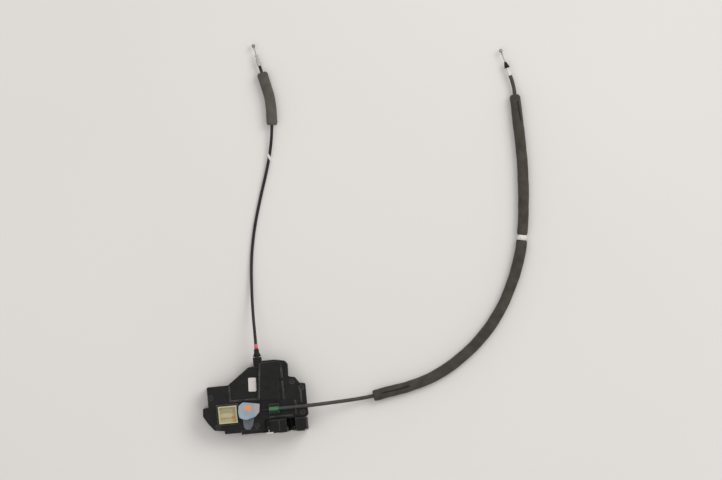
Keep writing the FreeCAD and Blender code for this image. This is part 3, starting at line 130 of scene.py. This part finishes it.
def moulded(name, dark, light, rough, grain_mm=0.35, edge_wear_and_highlight_colour="#6d6a66", edge_wear_and_highlight=0.5, dust=0.0,
            edge_mm=0.7, end_at=None, end_colour=None, level=0.5):
    """Injection-moulded plastic: an eroded grain, slight tone changes, and edges made paler,
    partly as rubbed wear and partly as painted highlight.
    Past end_at, in millimetres along X, it has its end colour. The real grain is about 0.1 mm,
    and is drawn coarser so that it shows."""
    material, tree, shader, place = surface(name)
    tone = blotches(tree, place, size_mm=18, low=0.0, high=1.0)
    colour = add(tree, "ShaderNodeMix", {SHARE: tone, FIRST: hue(dark), SECOND: hue(light)},
                 data_type="RGBA").outputs[MIXED]
    if end_at is not None:
        past = beyond(tree, place, end_at, soft_mm=1.5)
        colour = add(tree, "ShaderNodeMix", {
            SHARE: past, FIRST: colour, SECOND: hue(end_colour)}, data_type="RGBA").outputs[MIXED]
    rounded = add(tree, "ShaderNodeBevel", {"Radius": edge_mm * MM},
                  samples=EDGE_SAMPLES).outputs["Normal"]
    edges = edge_mask(tree, rounded)
    # Paler edges: partly rubbed wear, partly painted highlight along the edges
    wear_and_highlight_patches = blotches(tree, place, size_mm=16, low=0.25 * edge_wear_and_highlight, high=edge_wear_and_highlight)
    edge_wear_and_highlight_share = add(tree, "ShaderNodeMath", {0: edges, 1: wear_and_highlight_patches}, operation="MULTIPLY")
    colour = add(tree, "ShaderNodeMix", {
        SHARE: edge_wear_and_highlight_share.outputs["Value"], FIRST: colour, SECOND: hue(edge_wear_and_highlight_colour)},
        data_type="RGBA").outputs[MIXED]
    if dust:
        clouds = blotches(tree, place, size_mm=9, low=0.0, high=1.0, detail=6.0)
        settled = add(tree, "ShaderNodeMath", {0: clouds, 1: dust}, operation="MULTIPLY")
        colour = add(tree, "ShaderNodeMix", {
            SHARE: settled.outputs["Value"], FIRST: colour, SECOND: hue("#8b8378")},
            data_type="RGBA").outputs[MIXED]
    tree.links.new(colour, shader.inputs["Base Color"])
    gloss = blotches(tree, place, size_mm=11, low=rough - 0.06, high=rough + 0.08)
    tree.links.new(gloss, shader.inputs["Roughness"])
    grain = add(tree, "ShaderNodeTexNoise", {
        "Vector": place, "Scale": 1000 / grain_mm, "Detail": 2.0})
    bump = add(tree, "ShaderNodeBump", {
        "Height": grain.outputs["Fac"], "Strength": 0.5, "Distance": 0.03 * MM,
        "Normal": rounded})
    tree.links.new(bump.outputs["Normal"], shader.inputs["Normal"])
    shader.inputs["Specular IOR Level"].default_value = level
    return material


def metal(name, bright, dull, rough, streak_mm=(0.3, 0.3, 0.3)):
    """Bare or plated metal: working marks, cloudy plating and a few dull stains. The real
    marks are finer, and are drawn coarser so that they show."""
    edge_mm = 0.4
    material, tree, shader, place = surface(name)
    cloud = blotches(tree, place, size_mm=7, low=0.0, high=1.0)
    colour = add(tree, "ShaderNodeMix", {SHARE: cloud, FIRST: hue(bright), SECOND: hue(dull)},
                 data_type="RGBA").outputs[MIXED]
    stains = blotches(tree, place, size_mm=3.5, low=0.0, high=0.15, detail=5.0)
    colour = add(tree, "ShaderNodeMix", {
        SHARE: stains, FIRST: colour, SECOND: hue("#6f6555")}, data_type="RGBA").outputs[MIXED]
    tree.links.new(colour, shader.inputs["Base Color"])
    shader.inputs["Metallic"].default_value = 1.0
    marks = add(tree, "ShaderNodeMapping", {
        "Vector": place, "Scale": [1 / (size * MM) for size in streak_mm]})
    lines = add(tree, "ShaderNodeTexNoise", {
        "Vector": marks.outputs["Vector"], "Scale": 1.0, "Detail": 2.0}).outputs["Fac"]
    gloss = add(tree, "ShaderNodeMapRange", {
        "Value": lines, "From Min": NOISE_LOW, "From Max": NOISE_HIGH,
        "To Min": rough - 0.06, "To Max": rough + 0.1}).outputs["Result"]
    tree.links.new(gloss, shader.inputs["Roughness"])
    rounded = add(tree, "ShaderNodeBevel", {"Radius": edge_mm * MM},
                  samples=EDGE_SAMPLES).outputs["Normal"]
    bump = add(tree, "ShaderNodeBump", {
        "Height": lines, "Strength": 0.4, "Distance": 0.01 * MM, "Normal": rounded})
    tree.links.new(bump.outputs["Normal"], shader.inputs["Normal"])
    return material


def foam(name, dark, light, pore_shade_colour):
    """Open-cell polyurethane foam, cut from sheet: matt, mottled, with broken cells as pits
    darkened by painted shade. The real cells are about 0.5 mm, and are drawn coarser so that they
    show."""
    cell_mm, rumple_mm = 1.3, 4.0
    # How much of a cell a pit takes, and how far its painted shade shows at most
    pit_wide, pit_shade = 0.55, 0.55
    material, tree, shader, place = surface(name)
    tone = blotches(tree, place, size_mm=14, low=0.0, high=1.0, detail=4.0)
    colour = add(tree, "ShaderNodeMix", {SHARE: tone, FIRST: hue(dark), SECOND: hue(light)},
                 data_type="RGBA").outputs[MIXED]
    cells = add(tree, "ShaderNodeTexVoronoi", {
        "Vector": place, "Scale": 1000 / cell_mm, "Randomness": 1.0}).outputs["Distance"]
    pits = add(tree, "ShaderNodeMapRange", {
        "Value": cells, "From Min": 0.0, "From Max": pit_wide, "To Min": 1.0, "To Max": 0.0,
    }).outputs["Result"]
    scuffs = blotches(tree, place, size_mm=5, low=0.0, high=1.0, detail=6.0)
    broken = add(tree, "ShaderNodeMath", {0: pits, 1: scuffs}, operation="MULTIPLY")
    faint = add(tree, "ShaderNodeMath", {0: broken.outputs["Value"], 1: pit_shade},
                operation="MULTIPLY")
    # Painted shade: broken cells darkened towards the pore colour
    colour = add(tree, "ShaderNodeMix", {
        SHARE: faint.outputs["Value"], FIRST: colour, SECOND: hue(pore_shade_colour)},
        data_type="RGBA").outputs[MIXED]
    tree.links.new(colour, shader.inputs["Base Color"])
    shader.inputs["Roughness"].default_value = 0.93
    shader.inputs["Specular IOR Level"].default_value = 0.25
    shader.inputs["Sheen Weight"].default_value = 0.08
    shader.inputs["Sheen Roughness"].default_value = 0.5
    rumple = add(tree, "ShaderNodeTexNoise", {
        "Vector": place, "Scale": 1000 / rumple_mm, "Detail": 5.0})
    coarse = add(tree, "ShaderNodeBump", {
        "Height": rumple.outputs["Fac"], "Strength": 0.7, "Distance": 0.5 * MM})
    fine = add(tree, "ShaderNodeBump", {
        "Height": cells, "Strength": 0.6, "Distance": 0.2 * MM,
        "Normal": coarse.outputs["Normal"]})
    tree.links.new(fine.outputs["Normal"], shader.inputs["Normal"])
    return material


def sheath(name, dark, light, rough, near_colour=None, near_end=0.0):
    """Extruded polyethylene sheath: a satin skin with faint handling marks and dust. Before
    near_end, in millimetres along X, it has its near colour."""
    ripple_mm = 2.5
    material, tree, shader, place = surface(name)
    tone = blotches(tree, place, size_mm=12, low=0.0, high=1.0, detail=4.0)
    colour = add(tree, "ShaderNodeMix", {SHARE: tone, FIRST: hue(dark), SECOND: hue(light)},
                 data_type="RGBA").outputs[MIXED]
    if near_colour:
        past = beyond(tree, place, near_end, soft_mm=12)
        colour = add(tree, "ShaderNodeMix", {
            SHARE: past, FIRST: hue(near_colour), SECOND: colour},
            data_type="RGBA").outputs[MIXED]
    tree.links.new(colour, shader.inputs["Base Color"])
    gloss = blotches(tree, place, size_mm=5, low=rough - 0.05, high=rough + 0.12, detail=5.0)
    tree.links.new(gloss, shader.inputs["Roughness"])
    shader.inputs["Specular IOR Level"].default_value = 0.32
    ripple = add(tree, "ShaderNodeTexNoise", {
        "Vector": place, "Scale": 1000 / ripple_mm, "Detail": 3.0})
    bump = add(tree, "ShaderNodeBump", {
        "Height": ripple.outputs["Fac"], "Strength": 0.3, "Distance": 0.05 * MM})
    tree.links.new(bump.outputs["Normal"], shader.inputs["Normal"])
    return material


def paper(name, colour, rough):
    """Paper, tape or thin paint: one colour with faint grime and small creases."""
    crease_mm = 2.0
    material, tree, shader, place = surface(name)
    grime = blotches(tree, place, size_mm=3, low=0.0, high=0.35, detail=5.0)
    tone = add(tree, "ShaderNodeMix", {SHARE: grime, FIRST: hue(colour), SECOND: hue("#a59d94")},
               data_type="RGBA").outputs[MIXED]
    tree.links.new(tone, shader.inputs["Base Color"])
    shader.inputs["Roughness"].default_value = rough
    crease = add(tree, "ShaderNodeTexNoise", {
        "Vector": place, "Scale": 1000 / crease_mm, "Detail": 3.0})
    bump = add(tree, "ShaderNodeBump", {
        "Height": crease.outputs["Fac"], "Strength": 0.35, "Distance": 0.08 * MM})
    tree.links.new(bump.outputs["Normal"], shader.inputs["Normal"])
    return material


# Glass-filled nylon from an eroded tool: near black and half matt, its edges painted with thin
# pale lines, mostly painted highlight and partly rubbed wear
black_nylon = moulded("glass_filled_black_nylon", dark="#080707", light="#100e0d", rough=0.45,
                      edge_wear_and_highlight_colour="#a39f99", edge_wear_and_highlight=0.95, dust=0.01, edge_mm=0.95, level=0.22)
# Acetal of the latch block: as black, a little more matt, its pale edge lines of painted highlight
# and wear a little fainter
latch_nylon = moulded("black_acetal_housing", dark="#070706", light="#0c0b0b", rough=0.48,
                      edge_wear_and_highlight_colour="#8f8b85", edge_wear_and_highlight=0.75, dust=0.01, edge_mm=0.9, level=0.2)
# Phosphated and oiled steel: charcoal, with a dull gleam
black_steel = moulded("black_phosphated_steel", dark="#151516", light="#1e1e1e", rough=0.42,
                      edge_wear_and_highlight_colour="#45433f", edge_wear_and_highlight=0.35, level=0.35)
# Polyester moulded over the claw: soft-looking black that hides its edges
black_coating = moulded("black_overmoulded_polyester", dark="#101010", light="#181818",
                        rough=0.5, edge_wear_and_highlight=0.2)
# Unpigmented nylon: milky white, half gloss
white_nylon = moulded("natural_white_nylon", dark="#cfccc4", light="#e2dfd8", rough=0.4,
                      edge_wear_and_highlight_colour="#d8d5cc", edge_wear_and_highlight=0.2)
# The same nylon thin enough to let the grey wire show through
thin_nylon = moulded("thin_natural_nylon", dark="#a9a69f", light="#bbb8b0", rough=0.42,
                     edge_wear_and_highlight_colour="#c9c6be", edge_wear_and_highlight=0.3)
# Unpigmented acetal: ivory and slightly waxy
natural_acetal = moulded("natural_acetal", dark="#cdc8b8", light="#dcd8ca", rough=0.35,
                         edge_wear_and_highlight_colour="#d8d4c6", edge_wear_and_highlight=0.2)
# Paint over the pressed lever and its riveted shaft: mid grey, paler on the rims
lever_paint = moulded("grey_painted_lever_steel", dark="#55585c", light="#6b6d70", rough=0.45,
                      edge_wear_and_highlight_colour="#8e9094", edge_wear_and_highlight=0.6)
# Polypropylene of the cable's cap: pale blue-grey and chalky, its end block a warmer grey
cap_polymer = moulded("blue_grey_polypropylene", dark="#8596a3", light="#95a5b0", rough=0.5,
                      edge_wear_and_highlight_colour="#bcc4c9", edge_wear_and_highlight=0.6, end_at=-1.8, end_colour="#a39c9d")
# Polybutylene of the socket: olive cream, its rim made pale by painted highlight along its edges
cream_polymer = moulded("cream_polybutylene", dark="#b8ae86", light="#c2b992", rough=0.45,
                        edge_wear_and_highlight_colour="#e6e1be", edge_wear_and_highlight=1.0)
# Acetal clip on the cable's end: leaf green, a little faded
green_polymer = moulded("green_acetal_clip", dark="#366b40", light="#457e50", rough=0.38,
                        edge_wear_and_highlight_colour="#6aa076", edge_wear_and_highlight=0.5)
# Moulded rubber: matt black with a coarse skin
black_rubber = moulded("moulded_black_rubber", dark="#121110", light="#1b1a19", rough=0.62,
                       grain_mm=0.8, edge_wear_and_highlight=0.2, level=0.3)
# Nylon drawn over the pull wire: dark red-brown and smooth
brown_nylon = moulded("brown_nylon_wire_coating", dark="#33221e", light="#412e29", rough=0.5,
                      edge_wear_and_highlight=0.1, level=0.2)
# Zinc-plated pressed steel: pale grey with the press's long marks and dull clouds
zinc_steel = metal("zinc_plated_pressed_steel", bright="#d2cfc8", dull="#b3afa5", rough=0.36,
                   streak_mm=(4.0, 0.5, 0.5))
# Hardened steel with a ground face: dark, with marks across
hard_steel = metal("ground_hardened_steel", bright="#8f8c86", dull="#6b6863", rough=0.3,
                   streak_mm=(0.3, 3.0, 0.3))
# Spring wire: dark and oily
spring_steel = metal("drawn_spring_steel", bright="#6f6c68", dull="#55524e", rough=0.3)
# The motor's drawn can: bright, with marks along the draw
drawn_steel = metal("drawn_nickel_plated_steel", bright="#b9b5ad", dull="#9b978e", rough=0.25,
                    streak_mm=(0.4, 6.0, 0.4))
# Tinned brass: pale straw
tinned_brass = metal("tinned_brass", bright="#b5aa88", dull="#a2987b", rough=0.34)
# Galvanised strand: grey, its wires too fine to see one by one
wire_steel = metal("galvanised_stranded_wire", bright="#a9a7a2", dull="#86837c", rough=0.35)
# Polyethylene sheaths: satin skins, the inside cable's black, the outside one's grey-brown
# and green by the latch
black_sheath = sheath("black_polyethylene_sheath", dark="#141313", light="#211f1e", rough=0.38)
grey_sheath = sheath("grey_brown_polyethylene_sheath", dark="#37342f", light="#46423c",
                     rough=0.46, near_colour="#36453f", near_end=48)
# Open-cell foam sleeves: matt and mottled, one batch browner than the other
dark_foam = foam("dark_polyurethane_foam", dark="#3c3731", light="#4d4841", pore_shade_colour="#1d1a17")
pale_foam = foam("grey_polyurethane_foam", dark="#4f4c46", light="#5e5b54", pore_shade_colour="#2a2724")
# Cloth tape: white and matt
white_tape = paper("white_cloth_tape", "#e4e2de", rough=0.6)
# Vinyl tape: red, with a soft gloss
red_tape = paper("red_vinyl_tape", "#d84c57", rough=0.4)
# Coated label paper: off-white, half matt
label_paper = paper("white_label_paper", "#d6cdca", rough=0.5)
# Marking paint, dabbed on: orange, half matt
orange_paint = paper("orange_marking_paint", "#ea8a2e", rough=0.5)

NODE_MATERIALS = [
    (black_nylon, ["base_housing", "cover"]),
    (latch_nylon, ["latch_housing"]),
    (black_steel, ["case_screws", "back_plate"]),
    (black_coating, ["claw_coat", "position_switch"]),
    (white_nylon, ["motor_end_cap", "switch_button", "outside_end_fitting"]),
    (thin_nylon, ["inside_end_fitting"]),
    (natural_acetal, ["worm_wheel", "lock_lever", "contact_carrier"]),
    (lever_paint, ["outside_lever", "outside_lever_shaft"]),
    (cap_polymer, ["cable_cap"]),
    (cream_polymer, ["connector"]),
    (green_polymer, ["outside_cable_ferrule"]),
    (black_rubber, ["striker_bumper", "inside_cable_ferrule", "outside_end_seal"]),
    (brown_nylon, ["outside_wire"]),
    (zinc_steel, ["face_plate", "inside_lever"]),
    (hard_steel, ["claw", "claw_pin", "pawl", "pawl_pin", "worm", "wheel_axle", "lock_axle",
                  "inside_lever_axle"]),
    (spring_steel, ["claw_spring", "pawl_spring"]),
    (drawn_steel, ["motor_can"]),
    (tinned_brass, ["motor_terminals", "connector_blades"]),
    (wire_steel, ["inside_wire", "inside_pull_wire", "outside_pull_wire"]),
]
for material, names in NODE_MATERIALS:
    for node in names:
        mesh = nodes[node].data
        mesh.materials.clear()
        mesh.materials.append(material)


# Meshes from grids of points

def piece(name, points, faces, material, body):
    """A smooth mesh object from arrays of points and faces, riding on a body."""
    mesh = bpy.data.meshes.new(name)
    mesh.from_pydata(points.reshape(-1, 3), [], faces)
    mesh.materials.append(material)
    mesh.polygons.foreach_set("use_smooth", np.ones(len(mesh.polygons), bool))
    made = bpy.data.objects.new(name, mesh)
    bpy.context.scene.collection.objects.link(made)
    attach(made, body)
    return made


def grid_faces(rows, columns, across=False):
    """Four-sided faces of a grid of points, closed around its columns and, if asked, across
    its rows."""
    row = np.arange(rows if across else rows - 1)[:, None]
    column = np.arange(columns)[None, :]
    after = (row + 1) % rows
    beside = (column + 1) % columns
    corners = [row * columns + column, after * columns + column,
               after * columns + beside, row * columns + beside]
    size = (row.size, column.size)
    return np.stack([np.broadcast_to(c, size) for c in corners], -1).reshape(-1, 4).tolist()


# Cables: the routes' corner points in millimetres, from the latch outwards

INNER_ROUTE = [
    (10.4, 74.9, 28.0), (10.5, 97.1, 28.0), (10.3, 130.2, 19.0), (11.8, 173.3, 6.8),
    (15.8, 221.1, 2.9), (25.1, 268.4, 2.6), (39.8, 317.3, 2.7), (55.6, 364.0, 4.4),
    (65.3, 403.2, 8.6), (69.6, 441.0, 9.3), (69.4, 471.2, 9.2), (63.4, 499.5, 9.2),
    (57.4, 525.5, 9.2),
]
OUTER_ROUTE = [
    (37.2, -22.3, 42.0), (61.1, -22.3, 42.0), (93.2, -22.1, 39.5), (123.4, -21.1, 30.5),
    (153.7, -19.9, 19.0), (183.0, -18.0, 11.4), (215.7, -12.4, 9.4), (254.5, -6.3, 9.3),
    (296.6, 7.2, 9.2), (337.3, 31.3, 9.2), (374.5, 62.3, 9.3), (405.8, 101.0, 9.2),
    (429.4, 145.5, 9.3), (445.8, 189.6, 9.2), (454.4, 238.6, 9.3), (459.5, 288.3, 9.2),
    (461.9, 338.4, 9.3), (460.8, 388.7, 9.2), (459.6, 434.9, 9.3), (459.1, 458.1, 9.2),
    (454.9, 473.2, 9.2),
]
# The two sheaths' radii in millimetres, and the solids' tubes' lengths in metres
INNER_RADIUS, OUTER_RADIUS = 2.4, 3.0
INNER_TUBE, OUTER_TUBE = 0.4614, 0.7915


def cable(name, route, radius_mm, material, node):
    """A round cable on a smooth spline whose control points are its route, and that spline's
    own points in metres."""
    curve = bpy.data.curves.new(name, "CURVE")
    curve.dimensions = "3D"
    spline = curve.splines.new("NURBS")
    spline.points.add(len(route) - 1)
    for point, corner in zip(spline.points, route):
        point.co = [value * MM for value in corner] + [1.0]
    spline.order_u = 3
    spline.use_endpoint_u = True
    curve.resolution_u = 16
    made = bpy.data.objects.new(name, curve)
    bpy.context.scene.collection.objects.link(made)
    line = bpy.data.meshes.new_from_object(made)
    points = np.array([vertex.co for vertex in line.vertices])
    bpy.data.meshes.remove(line)
    curve.bevel_depth = radius_mm * MM
    curve.bevel_resolution = 6
    curve.use_fill_caps = True
    curve.materials.append(material)
    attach(made, "casing")
    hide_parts(node)
    return made, points


def stations(points, start, end, step):
    """Evenly spaced places between two lengths along a line: their points, directions and
    lengths. A direction runs from a point a little behind the place to one a little ahead."""
    runs = np.linalg.norm(np.diff(points, axis=0), axis=1)
    passed = np.concatenate([[0], np.cumsum(runs)])
    little = 0.5 * MM

    def on_line(where):
        """The line's points at some lengths along it."""
        return np.stack([np.interp(where, passed, points[:, axis]) for axis in range(3)], -1)

    lengths = np.linspace(start, end, max(2, int(round((end - start) / step)) + 1))
    way = on_line(lengths + little) - on_line(lengths - little)
    way /= np.linalg.norm(way, axis=1)[:, None]
    return on_line(lengths), way, lengths


def around_line(at, way, angles, radii):
    """Points round a line: each place's side and up directions, turned by an angle, times a
    radius."""
    side = np.cross(way, (0, 0, 1.0))
    side /= np.linalg.norm(side, axis=1)[:, None]
    up = np.cross(side, way)
    return (at[:, None, :] + (np.cos(angles) * radii)[..., None] * side[:, None, :]
            + (np.sin(angles) * radii)[..., None] * up[:, None, :])


def total(points):
    """A line's whole length."""
    return float(np.linalg.norm(np.diff(points, axis=0), axis=1).sum())


def sleeve(name, points, start, end, outer, inner, material, node, rounded, seed, slit=None,
           slit_at=1.57, slit_wide=1.0):
    """A foam sleeve. Its radius is the outer one plus slow waves, less a fall that grows with
    the square of the nearness to each end, as deep there as its two values of rounded say in
    millimetres. Where a slit runs along it, at an angle from its side, a groove that is a bell
    curve across is taken off too, with a low lip beside it. Both ends turn in over a flat face
    to the bore."""
    step, turns = 1.2 * MM, 128
    # How far the mean skin lies inside the outer radius, and how long an end's rounding is
    inset, reach = 0.35, 4.5 * MM
    at, way, lengths = stations(points, start, end, step)
    angles = np.linspace(0, 2 * math.pi, turns, endpoint=False)[None, :] + np.zeros((len(at), 1))
    along = lengths[:, None]
    # Dents of a squeezed tube, from 0.08 to 0.16 mm deep and from 20 to 200 mm long
    waves = (0.16 * np.sin(along * 61 + seed) * np.cos(angles * 2 + seed * 2)
             + 0.12 * np.sin(along * 143 + angles + seed * 3) + 0.1 * np.sin(along * 31 + seed * 5)
             + 0.08 * np.sin(along * 290 + angles * 3 + seed))
    fall = (rounded[0] * np.clip(1 - (along - start) / reach, 0, 1) ** 2
            + rounded[1] * np.clip(1 - (end - along) / reach, 0, 1) ** 2)
    radii = (outer + waves - inset - fall) * MM
    if slit:
        first, last = slit
        run_out, least_wide = 2 * MM, 0.7
        groove_deep, lip_high, lip_off, lip_wide = 4.6, 0.5, 2.6, 0.9
        near = (np.clip((along - first) / run_out, 0, 1)
                * np.clip((last - along) / run_out, 0, 1))
        # A hand-cut slit sways a little, in waves about 50 mm long
        wander = slit_at + 0.05 * np.sin(along * 120)
        off = np.abs((angles - wander + math.pi) % (2 * math.pi) - math.pi) * outer
        wide = least_wide + slit_wide * np.clip((along - first) / (last - first), 0, 1)
        groove = groove_deep * np.exp(-(off / wide) ** 2)
        lip = lip_high * np.exp(-((off - lip_off) / lip_wide) ** 2)
        radii = radii - near * (groove - lip) * MM
    rings = [around_line(at, way, angles, radii)]
    # Each end's rings: partly in over its flat face, then the bore's mouth, its throat and the
    # bore. The last two lie some way in, and the last three are wider than the inner radius.
    face_in, throat_in, bore_in = 0.28, 0.6 * MM, 6 * MM
    mouth, throat, bore = 1.0, 0.35, 0.12
    for far in (True, False):
        sign = 1.0 if far else -1.0
        end_at, end_way, rim = (at[-1], way[-1], radii[-1]) if far else (at[0], way[0], radii[0])
        places = np.stack([end_at, end_at, end_at - sign * end_way * throat_in,
                           end_at - sign * end_way * bore_in])
        sizes = np.stack([
            rim * (1 - face_in) + face_in * inner * MM, np.full(turns, inner + mouth) * MM,
            np.full(turns, inner + throat) * MM, np.full(turns, inner + bore) * MM])
        if not far:
            places, sizes = places[::-1], sizes[::-1]
        ring = around_line(places, np.repeat(end_way[None, :], 4, 0), angles[:4], sizes)
        rings = rings + [ring] if far else [ring] + rings
    shell = np.concatenate(rings)
    made = piece(name, shell, grid_faces(len(shell), turns), material, "casing")
    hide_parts(node)
    return made


def band(name, points, start, end, inner, thick, material, skew=0.0, narrow=0.0):
    """A wound tape: a thin ring along a cable, narrower at its far end by narrow. Both its ends
    lie askew, further along on one side by a length times the cosine of the angle round the
    cable."""
    turns = 48
    middle, way, _ = stations(points, start, end, (end - start))
    share = np.array([0.0, 0.0, 1.0, 1.0])
    at = middle[0] + (middle[-1] - middle[0]) * share[:, None]
    angles = np.linspace(0, 2 * math.pi, turns, endpoint=False)[None, :] + np.zeros((4, 1))
    near, far = inner, inner - narrow
    radii = np.array([near, near + thick, far + thick, far])[:, None] * MM + np.zeros((4, turns))
    ways = np.repeat(way[:1], 4, 0)
    ring = around_line(at, ways, angles, radii)
    ring = ring + ways[0] * (skew * MM * np.cos(angles))[..., None]
    return piece(name, ring, grid_faces(4, turns, across=True), material, "casing")


inner_cable, inner_line = cable("inside_handle_cable", INNER_ROUTE, INNER_RADIUS, black_sheath,
                                "inside_conduit")
outer_cable, outer_line = cable("outside_handle_cable", OUTER_ROUTE, OUTER_RADIUS, grey_sheath,
                                "outside_conduit")
# Lengths along the solids' tubes, in metres, are scaled to the smooth lines
inner_scale = total(inner_line) / INNER_TUBE
outer_scale = total(outer_line) / OUTER_TUBE

small_foam = sleeve("inside_foam_sleeve", inner_line, start=0.364 * inner_scale,
                    end=0.450 * inner_scale, outer=9.0, inner=INNER_RADIUS, material=pale_foam,
                    node="inside_foam", rounded=(1.6, 2.8), seed=2.0)
low_foam = sleeve("lower_foam_sleeve", outer_line, start=0.157 * outer_scale,
                  end=0.5285 * outer_scale, outer=9.2, inner=OUTER_RADIUS, material=dark_foam,
                  node="lower_foam", rounded=(0.9, 2.6), seed=3.3,
                  slit=(0.169 * outer_scale, 0.217 * outer_scale))
high_foam = sleeve("upper_foam_sleeve", outer_line, start=0.5350 * outer_scale,
                   end=0.7598 * outer_scale, outer=9.0, inner=OUTER_RADIUS, material=dark_foam,
                   node="upper_foam", rounded=(1.8, 3.2), seed=5.1,
                   slit=(0.717 * outer_scale, 0.750 * outer_scale), slit_at=1.05, slit_wide=0.5)

red_band = band("red_cable_tape", inner_line, start=0.4 * MM, end=8.2 * MM, inner=INNER_RADIUS,
                thick=0.55, material=red_tape)
white_band = band("white_cable_tape", inner_line, start=0.3098, end=0.3160, inner=INNER_RADIUS,
                  thick=0.4, material=white_tape, skew=-3.0)
joint_band = band("white_foam_tape", outer_line, start=0.5272 * outer_scale,
                  end=0.5362 * outer_scale, inner=8.5, thick=0.3, material=white_tape,
                  narrow=2.0)


# Label and marks, in millimetres

# Heights of the cover's flat, of the cable's cap and of the socket's floor
COVER_TOP, CAP_TOP, SOCKET_FLOOR = 34.0, 46.8, 34.0


def sticker(name, corners, level, thick, material, body, turn=0.0):
    """A thin closed plate over corners in millimetres, turned about its middle by some degrees.
    Its top is a fan from the middle, a little higher than its rim."""
    rim, crown = 0.97, 0.02
    flat = np.array(corners, float)
    count = len(flat)
    centre = flat.mean(axis=0)
    lean = math.radians(turn)
    spin = np.array([[math.cos(lean), math.sin(lean)], [-math.sin(lean), math.cos(lean)]])
    flat = centre + (flat - centre) @ spin
    rings = []
    for share, high in ((1.0, 0.0), (1.0, thick), (rim, thick + crown), (0.0, thick + crown)):
        ring = centre + (flat - centre) * share
        rings.append(np.column_stack([ring, np.full(count, level + high)]))
    faces = grid_faces(len(rings), count)
    faces.append(list(range(count)))
    piece(name, np.stack(rings) * MM, [face[::-1] for face in faces], material, body)


def round_corners(x0, y0, x1, y1, radius):
    """A rectangle's corners, each a quarter circle of a radius."""
    turn = np.linspace(0, math.pi / 2, 5)
    out = []
    for cx, cy, start in ((x1 - radius, y1 - radius, 0), (x0 + radius, y1 - radius, 1),
                          (x0 + radius, y0 + radius, 2), (x1 - radius, y0 + radius, 3)):
        angles = turn + start * math.pi / 2
        out += list(zip(cx + radius * np.cos(angles), cy + radius * np.sin(angles)))
    return out


sticker("blank_label", round_corners(-7.3, 8.2, 5.2, 30.2, 1.6), COVER_TOP, thick=0.15,
        material=label_paper, body="casing", turn=-3.0)
sticker("orange_paint_mark", [
    (-17.8, -14.4), (-16.7, -12.6), (-11.4, -12.6), (-6.3, -14.1), (-7.1, -18.9), (-9.0, -24.1),
    (-12.4, -23.8), (-12.5, -20.6), (-17.5, -18.5)], CAP_TOP, thick=0.05,
    material=orange_paint, body="outside_release")
sticker("orange_socket_mark", round_corners(-38.5, -32.6, -33.7, -27.6, 2.2), SOCKET_FLOOR,
        thick=0.1, material=orange_paint, body="casing")


# Table and light, in metres

TABLE_HALF = 4.0
table_mesh = bpy.data.meshes.new("table")
table_mesh.from_pydata([(x * TABLE_HALF, y * TABLE_HALF, 0) for x, y in
                        ((-1, -1), (1, -1), (1, 1), (-1, 1))], [], [(0, 1, 2, 3)])
table = bpy.data.objects.new("table", table_mesh)
bpy.context.scene.collection.objects.link(table)
# Painted card: pale warm grey and matt, with hardly a cloud
card, tree, shader, place = surface("pale_card")
cloud = blotches(tree, place, size_mm=600, low=0.0, high=1.0, detail=1.0)
shade = add(tree, "ShaderNodeMix", {SHARE: cloud, FIRST: hue("#dfdcd8"), SECOND: hue("#e2dfdb")},
            data_type="RGBA").outputs[MIXED]
tree.links.new(shade, shader.inputs["Base Color"])
shader.inputs["Roughness"].default_value = 0.9
table_mesh.materials.append(card)

sky = bpy.data.worlds.new("studio")
sky.use_nodes = True
background = sky.node_tree.nodes["Background"]
background.inputs["Color"].default_value = hue("#f3f3f2")
background.inputs["Strength"].default_value = 0.62
bpy.context.scene.world = sky


def softbox(name, place, aim, wide, watts):
    """A square lamp that faces a point."""
    lamp = bpy.data.lights.new(name, "AREA")
    lamp.shape = "SQUARE"
    lamp.size = wide
    lamp.energy = watts
    made = bpy.data.objects.new(name, lamp)
    made.location = place
    made.rotation_euler = (Vector(aim) - Vector(place)).to_track_quat("-Z", "Y").to_euler()
    bpy.context.scene.collection.objects.link(made)


VIEW_MIDDLE = (0.17, 0.25, 0.0)
softbox("window", (2.5, 1.9, 2.9), VIEW_MIDDLE, wide=2.5, watts=72.0)
softbox("ceiling", (-0.7, 0.0, 3.0), VIEW_MIDDLE, wide=2.8, watts=20.0)
